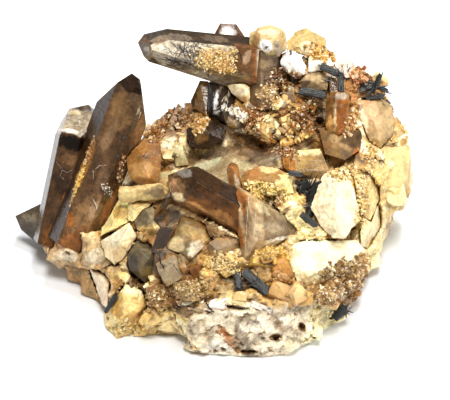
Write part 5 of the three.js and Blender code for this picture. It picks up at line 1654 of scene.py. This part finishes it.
def block_mesh(node, voxel, relief):
    """A feldspar crystal in even faces, its surface gently stepped and chipped."""
    mesh = even_mesh(finished_mesh(merged_copy(node), node), voxel)
    points = points_of(mesh)
    steps, shades = grains_at(points, 3.6, 1.0)
    height = steps * 0.3 + crumbs_at(points, 1.8, 4.0) * 0.16
    set_points(mesh, points + normals_of(mesh) * (height * relief * MM)[:, None])
    set_attribute(mesh, "growth", growth_frame(points))
    mesh.shade_smooth()
    mesh.set_sharp_from_angle(angle=math.radians(22))
    return mesh, shades


def cleaved_mesh(node, step, relief):
    """A feldspar crystal with flat cleavage faces, each a little lighter or darker than the next: a painted sheen.
    """
    mesh = crystal_mesh(node, 0.16, step)
    points, normals = points_of(mesh), normals_of(mesh)
    height = crumbs_at(points, 3.0, 4.0) * 0.3 + crumbs_at(points, 1.2, 7.0) * 0.14
    # a painted sheen: one tone for each direction a face looks
    shades = 0.5 + crumbs_at(normals * 3 * MM, 2.0, 5.0) * 1.6
    set_points(mesh, points + normals * (height * relief * MM)[:, None])
    return mesh, np.clip(shades, 0, 1)


def sliced(bm, step):
    """Cuts flat faces into small ones by planes step millimetres apart in each direction."""
    lows = [min(v.co[i] for v in bm.verts) for i in range(3)]
    highs = [max(v.co[i] for v in bm.verts) for i in range(3)]
    for axis in range(3):
        direction = Vector([float(i == axis) for i in range(3)])
        for k in range(1, int((highs[axis] - lows[axis]) / (step * MM)) + 1):
            geometry = bm.verts[:] + bm.edges[:] + bm.faces[:]
            point = direction * (lows[axis] + k * step * MM)
            bmesh.ops.bisect_plane(bm, geom=geometry, dist=1e-7, plane_co=point, plane_no=direction)


def crystal_mesh(node, chamfer, step):
    """A crystal with worn edges, in faces small enough to carry its colours."""
    bm = merged_copy(node)
    bmesh.ops.dissolve_limit(bm, angle_limit=math.radians(1), verts=bm.verts, edges=bm.edges)
    wear_edges(bm, chamfer * MM)
    sliced(bm, step)
    mesh = finished_mesh(bm, node, 20)
    set_attribute(mesh, "growth", growth_frame(points_of(mesh)))
    return mesh


def facet_share(points, surface, facet):
    """1 for points on the flat face that is seen at a facet's place, 0 for the others."""
    seated = seat(surface, facet.across, facet.rise)
    if seated is None:
        return np.zeros((len(points), 1))
    spot, normal = (np.array(v) for v in seated)
    return (np.abs((points - spot) @ normal) < 0.02 * MM).astype(float)[:, None]


def paint_crystal(mesh, node):
    """Stores a crystal's colours and cloudiness: its base, then its faces, its panels and its zones."""
    base, cloud, facets, zones = QUARTZ_LOOKS[node]
    points = points_of(mesh)
    surface = surface_of(mesh)
    colours = np.tile(np.array(linear(base)), (len(points), 1))
    clouds = np.full((len(points), 1), cloud)
    areas = [(facet, facet_share(points, surface, facet)) for facet in facets]
    areas += [(panel, panel_share(points, panel)) for panel in PANELS.get(node, ())]
    # the faces and panels lay on painted light and shade
    for area, share in areas:
        colours = colours * (1 - share) + zone_colour(area) * share
        clouds = clouds * (1 - share) + area.cloud * share
    colours = laid_over(points, colours, zones, zone_colour, 1.6)
    clouds = laid_over(points, clouds, zones, lambda zone: zone.cloud, 1.6)
    set_attribute(mesh, "tint", mottled(points, colours, 0.8))
    set_attribute(mesh, "cloud", clouds)


def add_needle(bm, start, direction, length, width):
    """A thin crystal that tapers towards its end."""
    place = Matrix.Translation(start + direction * length / 2) @ aimed(direction)
    bmesh.ops.create_cone(
        bm, cap_ends=True, segments=5, radius1=width / 2, radius2=width / 8, depth=length, matrix=place
    )


BLADE_SPLINTERS = 14


def sheaf_needles(bm, node, chooser):
    """Splinters that lie along a blade and stick out of its ends."""
    points = np.array([corner.co for corner in NODES[node].data.vertices])
    middle = points.mean(0)
    directions = np.linalg.eigh((points - middle).T @ (points - middle))[1]
    along = (points - middle) @ directions
    low, high = along.min(0), along.max(0)
    for _ in range(BLADE_SPLINTERS):
        start = chooser.uniform(low, high) * (0.9, 0.9, 0.75)
        sign = chooser.choice((-1, 1))
        direction = Vector(directions @ np.append(chooser.normal(0, 0.07, 2), sign))
        length = (high[2] - low[2]) * chooser.uniform(0.25, 0.55)
        width = chooser.uniform(0.25, 0.6) * MM
        add_needle(bm, Vector(middle + directions @ start), direction.normalized(), length, width)


def needles_mesh(surface, blades, chooser):
    """All sprays of thin aegirine needles, and the splinters on the blades."""
    bm = bmesh.new()
    for node in blades:
        sheaf_needles(bm, node, chooser)
    for spray in SPRAYS:
        for _ in range(spray.count):
            flat = chooser.uniform(0, 2 * math.pi)
            across, rise = np.array((spray.across, spray.rise)) + chooser.normal(0, 0.16 * spray.long, 2)
            seated = seat(surface, across, rise)
            if seated is None:
                continue
            begin = seated[0] - seated[1] * spray.deep * MM
            lean = Vector((math.cos(flat), math.sin(flat), chooser.uniform(-0.25, 0.5)))
            direction = (FACE_TURN.to_3x3() @ lean).normalized()
            if spray.deep < 0:
                direction = (direction - seated[1] * direction.dot(seated[1])).normalized()
            length = spray.long * chooser.uniform(0.4, 1.1) * MM
            add_needle(bm, begin, direction, length, spray.thick * chooser.uniform(0.6, 1.2) * MM)
    return finished_mesh(bm, "aegirine_needles", 30)


def streaks_mesh(name, surface, streaks, chooser):
    """Thin wavering lines on the surface, each a chain of short tapered crystals."""
    bm = bmesh.new()
    for streak in streaks:
        stops = np.array(streak.places)
        along = np.append(0, np.cumsum(np.linalg.norm(np.diff(stops, axis=0), axis=1)))
        steps = np.linspace(0, along[-1], max(3, int(along[-1] / 0.6)))
        places = np.stack([np.interp(steps, along, stops[:, 0]), np.interp(steps, along, stops[:, 1])], 1)
        places += chooser.normal(0, 0.1, places.shape)
        spots = [seat(surface, *place) for place in places]
        for one, other in zip(spots, spots[1:]):
            if one is None or other is None or (one[0] - other[0]).length > 3 * MM or chooser.random() < 0.12:
                continue
            away = other[0] - one[0]
            width = streak.wide * chooser.uniform(0.4, 1.2) * MM
            add_needle(bm, one[0] - away * 0.1, away.normalized(), away.length * 1.25, width)
    return finished_mesh(bm, name, 30)


# ---- sizes and colours that a user would change ----


class ClusterSizes(bpy.types.PropertyGroup):
    """Sizes of the finish, in millimetres, and its main colours."""

    rock_face: FloatProperty(name="Rock face", description="Width of the rock's faces in mm", default=0.7, min=0.4)
    rock_relief: FloatProperty(
        name="Rock relief", description="Height of the rock's grains, 1 as found", default=1.0, min=0.0
    )
    block_face: FloatProperty(
        name="Feldspar face", description="Width of the feldspar's faces in mm", default=0.45, min=0.3
    )
    block_relief: FloatProperty(
        name="Feldspar relief", description="Height of the feldspar's steps, 1 as found", default=1.0, min=0.0
    )
    chamfer: FloatProperty(name="Worn edge", description="Width of worn quartz edges in mm", default=0.03, min=0.02)
    iron_stain: FloatVectorProperty(
        name="Iron stain", description="Colour of the rust on the rock and feldspar", default=linear("#AC7632"),
        size=4, min=0, max=1, subtype="COLOR",
    )
    # The dark colour of the gaps: painted shade where they are deep or hollow, with the dirt that gathers there.
    shade_and_dirt: FloatVectorProperty(
        name="Dirt", description="Colour of what gathers in the gaps", default=linear("#2E1B0C"), size=4, min=0,
        max=1, subtype="COLOR",
    )


# ---- operators ----

# Where the random draws of each group of pieces start.
BLOCK_SEED, NEEDLE_SEED, CRACK_SEED, DRUSE_SEED = 11, 5, 3, 7
# How many chance blocks stand on a square millimetre of rock, on the display side and elsewhere.
FACE_CROWD, BACK_CROWD = 0.007, 0.035
# How many grains of fine druse stand on a square millimetre at most.
DRUSE_CROWD = 0.35
# The camera's lens and film in millimetres and its distance in metres, and half the table's width in metres.
CAMERA_LENS, CAMERA_FILM, CAMERA_AWAY = 400, 36, 1.5
TABLE_HALF = 1.5


def sizes_of(context):
    """The sizes that the panel shows."""
    return context.scene.cluster_sizes


def cluster_surface():
    """A tree of all pieces made so far."""
    return surface_of(*(piece.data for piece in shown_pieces() if "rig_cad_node" not in piece))


class CLUSTER_OT_rock(bpy.types.Operator):
    """Builds the rock"""

    bl_idname = "cluster.rock"
    bl_label = "Rock"

    def execute(self, context):
        sizes = sizes_of(context)
        mesh, shades = rock_mesh(sizes)
        points = points_of(mesh)
        colours = rock_colour(points, shades, hollows_of(mesh, points, 25), sizes)
        set_attribute(mesh, "tint", colours)
        rock = new_piece("rock", mesh, rock_material())
        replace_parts(rock, "matrix")
        return {"FINISHED"}


class CLUSTER_OT_blocks(bpy.types.Operator):
    """Sets small feldspar blocks on the rock"""

    bl_idname = "cluster.blocks"
    bl_label = "Blocks"

    def execute(self, context):
        chooser = np.random.default_rng(BLOCK_SEED)
        rock = bpy.data.objects["rock"].data
        surface = surface_of(rock)
        neighbours = surface_of(*(NODES[name].data for name in NODES if name != "matrix"))
        blocks = [placed_block(surface, block, chooser) for block in ROCK_BLOCKS]
        blocks = [block for block in blocks if block]
        for patch in ROD_PATCHES:
            blocks += patch_blocks(surface, patch, chooser)
        points = points_of(rock)
        tints = tints_of(rock)
        crowd = np.where(normals_of(rock) @ OUT_OF_FACE > 0.15, FACE_CROWD, BACK_CROWD)
        crowd[points[:, 2] < 3 * MM] = 0
        crowd[oval_distance(points, WALL) < 1] = 0
        crowd[oval_distance(points, SLOPE) < 1.05] = 0
        for zone in [FLANK, CROWN_GROUND] + CALM_AREAS:
            crowd[oval_distance(points, zone) < 1] = 0
        spots, normals, rows = surface_places(rock, crowd, chooser)
        for spot, normal, row in zip(spots, normals, rows):
            width = chooser.uniform(2.4, 6.4) * MM
            if neighbours.find_nearest(Vector(spot))[3] < width * 0.5:
                continue
            colour = near_tint(tints[row], 0.95, 1.3, (1, 0.97, 0.9), chooser)
            size = (width, width * chooser.uniform(0.5, 1.0), width * chooser.uniform(0.5, 0.8))
            blocks.append((stand_on(spot - normal * width * 0.2, normal, 22, chooser), size, colour))
        mesh = blocks_mesh("feldspar_blocks", blocks, sizes_of(context).iron_stain, chooser)
        new_piece("feldspar_blocks", mesh, feldspar_material("small_feldspar"))
        return {"FINISHED"}


class CLUSTER_OT_feldspar(bpy.types.Operator):
    """Finishes the large feldspar crystals"""

    bl_idname = "cluster.feldspar"
    bl_label = "Feldspar"

    def execute(self, context):
        sizes = sizes_of(context)
        material = feldspar_material("cleaved_feldspar")
        for row in SUBPARTS:
            node, slot = row["node"], row["material_slot"]
            if not slot.endswith("feldspar"):
                continue
            make = block_mesh if node in WORN_FELDSPAR else cleaved_mesh
            mesh, shades = make(node, sizes.block_face, sizes.block_relief)
            points = points_of(mesh)
            # on cleaved feldspar the tone of each face is a painted sheen
            colours = toned(tinted(points, *FELDSPAR_LOOKS[node]), 0.88 + 0.22 * shades)
            hollows = hollows_of(mesh, points, 20)
            most = 0.12 if node in CLEAN_FELDSPAR else 0.5
            colours = blended(colours, sizes.iron_stain, np.clip(crumbs_at(points, 5.0, 8.0) * 0.7 - 0.12, 0, most))
            # painted shade with dirt in the hollows
            colours = mottled(points, blended(colours, sizes.shade_and_dirt, np.clip(hollows * 1.2 - 0.2, 0, 0.6)), 0.4)
            set_attribute(mesh, "tint", colours)
            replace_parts(new_piece(node + "_stone", mesh, material), node)
        return {"FINISHED"}


class CLUSTER_OT_quartz(bpy.types.Operator):
    """Finishes the quartz crystals"""

    bl_idname = "cluster.quartz"
    bl_label = "Quartz"

    def execute(self, context):
        finishes = {slot: quartz_material(slot, *look) for slot, look in QUARTZ_KINDS.items()}
        for row in SUBPARTS:
            node, slot = row["node"], row["material_slot"]
            if slot not in finishes:
                continue
            mesh = crystal_mesh(node, sizes_of(context).chamfer, 0.5 if node in FINE_CRYSTALS else 0.7)
            paint_crystal(mesh, node)
            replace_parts(new_piece(node + "_crystal", mesh, finishes[slot]), node)
        return {"FINISHED"}


class CLUSTER_OT_aegirine(bpy.types.Operator):
    """Finishes the aegirine blades and adds the fine needles"""

    bl_idname = "cluster.aegirine"
    bl_label = "Aegirine"

    def execute(self, context):
        material = aegirine_material()
        blades = [row["node"] for row in SUBPARTS if row["material_slot"] == "aegirine"]
        for node in blades:
            mesh = crystal_mesh(node, 0.08, 1.5)
            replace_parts(new_piece(node + "_blade", mesh, material), node)
        surface = cluster_surface()
        needles = needles_mesh(surface, blades, np.random.default_rng(NEEDLE_SEED))
        new_piece("aegirine_needles", needles, material)
        return {"FINISHED"}


class CLUSTER_OT_streaks(bpy.types.Operator):
    """Adds the healed cracks and painted glints, the dark cracks and painted slit shade, and the iron seams"""

    bl_idname = "cluster.streaks"
    bl_label = "Cracks and seams"

    def execute(self, context):
        surface = cluster_surface()
        chooser = np.random.default_rng(CRACK_SEED)
        for name, (colour, rough, streaks) in STREAKS.items():
            mesh = streaks_mesh(name, surface, streaks, chooser)
            new_piece(name, mesh, line_material(name, colour, rough))
        return {"FINISHED"}


class CLUSTER_OT_crevices(bpy.types.Operator):
    """Darkens the gaps of the rock and feldspar: iron stain, and painted shade with dirt where they are deep"""

    bl_idname = "cluster.crevices"
    bl_label = "Crevices"

    def execute(self, context):
        surface = cluster_surface()
        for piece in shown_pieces():
            if piece.name in ("rock", "feldspar_blocks") or piece.name.endswith("_stone"):
                mesh = piece.data
                points = points_of(mesh)
                shut = crevices_of(points, normals_of(mesh), surface, 4.5)
                gap_darkening = 1 - any_share(points, UNSHADED_GAP_AREAS)
                stain = np.clip(shut * 1.8 - 0.3, 0, 0.55) * (0.4 + 0.6 * gap_darkening)
                tints = blended(tints_of(mesh), sizes_of(context).iron_stain, stain)
                # painted shade with dirt where the gaps are deeply shut in
                tints = blended(tints, sizes_of(context).shade_and_dirt, np.clip(shut * 2.0 - 0.8, 0, 0.9) * gap_darkening)
                set_attribute(mesh, "tint", tints)
        return {"FINISHED"}


class CLUSTER_OT_druse(bpy.types.Operator):
    """Coats the cluster with small crystals"""

    bl_idname = "cluster.druse"
    bl_label = "Druse"

    def execute(self, context):
        chooser = np.random.default_rng(DRUSE_SEED)
        material = druse_material()
        surface = cluster_surface()
        grains = [grain for patch in DRUSE_PATCHES for grain in patch_grains(surface, patch, chooser)]
        new_piece("golden_druse", crust_mesh("golden_druse", grains, chooser), material)
        rock = bpy.data.objects["rock"].data
        points = points_of(rock)
        tints = tints_of(rock)
        crowd = np.clip(crumbs_at(points, 6.0, 61.0) * 0.6, 0, DRUSE_CROWD)
        crowd[points[:, 2] < 1.5 * MM] = 0
        crowd[oval_distance(points, WALL) < 1] *= 0.3
        for zone in [SLOPE, CROWN_GROUND] + CALM_AREAS:
            crowd[oval_distance(points, zone) < 1.05] = 0
        spots, normals, rows = surface_places(rock, crowd, chooser)
        grains = [
            (
                stand_on(spot, normal, 25, chooser),
                chooser.uniform(0.4, 1.2) * MM,
                near_tint(tints[row], 0.8, 1.6, (1, 1, 1), chooser),
            )
            for spot, normal, row in zip(spots, normals, rows)
        ]
        new_piece("fine_druse", crust_mesh("fine_druse", grains, chooser), material)
        return {"FINISHED"}


# Soft round lights: where from the cluster's middle and how wide in metres, and their power in watts.
STUDIO_LIGHTS = [
    ("key", (0.12, 0.12, 0.85), 0.25, 6.5),
    ("side", (0.70, -0.30, 0.45), 0.35, 2.0),
]


def on_stage(name, data, place=(0, 0, 0), behind=None):
    """Adds an object to the stage. behind is the direction at the back of a light or camera."""
    thing = bpy.data.objects.new(name, data)
    thing.location = place
    if behind is not None:
        thing.rotation_euler = Vector(behind).to_track_quat("Z", "Y").to_euler()
    bpy.context.scene.collection.objects.link(thing)
    return thing


class CLUSTER_OT_stage(bpy.types.Operator):
    """Sets the white table, the soft lights and the camera"""

    bl_idname = "cluster.stage"
    bl_label = "Stage"

    def execute(self, context):
        scene = context.scene
        bm = bmesh.new()
        bmesh.ops.create_grid(bm, x_segments=4, y_segments=4, size=TABLE_HALF)
        card = finished_mesh(bm, "table")
        card.materials.append(table_material())
        table = on_stage("table", card)
        table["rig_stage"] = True

        world = bpy.data.worlds.new("soft_box")
        world.use_nodes = True
        world.node_tree.nodes["Background"].inputs["Color"].default_value = (1.0, 0.94, 0.85, 1.0)
        world.node_tree.nodes["Background"].inputs["Strength"].default_value = 0.33
        scene.world = world
        scene.view_settings.view_transform = "Standard"

        sun = bpy.data.lights.new("sky_light", "SUN")
        sun.energy = 2.6
        sun.color = (1.0, 0.965, 0.9)
        sun.angle = math.radians(18)
        on_stage("sky_light", sun, behind=(0.06, -0.42, 1.0))
        middle = on_face(0, 0, 0)
        for name, place, size, power in STUDIO_LIGHTS:
            light = bpy.data.lights.new(name, "AREA")
            light.shape = "DISK"
            light.size = size
            light.energy = power
            on_stage(name, light, middle + Vector(place), place)

        camera = bpy.data.cameras.new("camera")
        camera.sensor_width = CAMERA_FILM
        camera.lens = CAMERA_LENS
        scene.camera = on_stage("camera", camera, middle + Vector(OUT_OF_FACE) * CAMERA_AWAY, OUT_OF_FACE)
        return {"FINISHED"}


class CLUSTER_PT_panel(bpy.types.Panel):
    """Lists the sizes, the colours and the pieces of the cluster"""

    bl_label = "Quartz Cluster"
    bl_idname = "CLUSTER_PT_panel"
    bl_space_type = "VIEW_3D"
    bl_region_type = "UI"
    bl_category = "Quartz Cluster"

    def draw(self, context):
        for name in ClusterSizes.__annotations__:
            self.layout.prop(context.scene.cluster_sizes, name)
        for operator in OPERATORS:
            self.layout.operator(operator.bl_idname)


OPERATORS = (
    CLUSTER_OT_rock,
    CLUSTER_OT_blocks,
    CLUSTER_OT_feldspar,
    CLUSTER_OT_quartz,
    CLUSTER_OT_aegirine,
    CLUSTER_OT_streaks,
    CLUSTER_OT_crevices,
    CLUSTER_OT_druse,
    CLUSTER_OT_stage,
)


def register():
    """Adds the properties, operators and panel."""
    for item in (ClusterSizes, *OPERATORS, CLUSTER_PT_panel):
        bpy.utils.register_class(item)
    bpy.types.Scene.cluster_sizes = PointerProperty(type=ClusterSizes)


def unregister():
    """Takes them away again."""
    del bpy.types.Scene.cluster_sizes
    for item in (CLUSTER_PT_panel, *reversed(OPERATORS), ClusterSizes):
        bpy.utils.unregister_class(item)


def main():
    """Builds everything."""
    register()
    bpy.ops.cluster.rock()
    bpy.ops.cluster.blocks()
    bpy.ops.cluster.feldspar()
    bpy.ops.cluster.quartz()
    bpy.ops.cluster.aegirine()
    bpy.ops.cluster.streaks()
    bpy.ops.cluster.crevices()
    bpy.ops.cluster.druse()
    bpy.ops.cluster.stage()


if __name__ == "__main__":
    main()
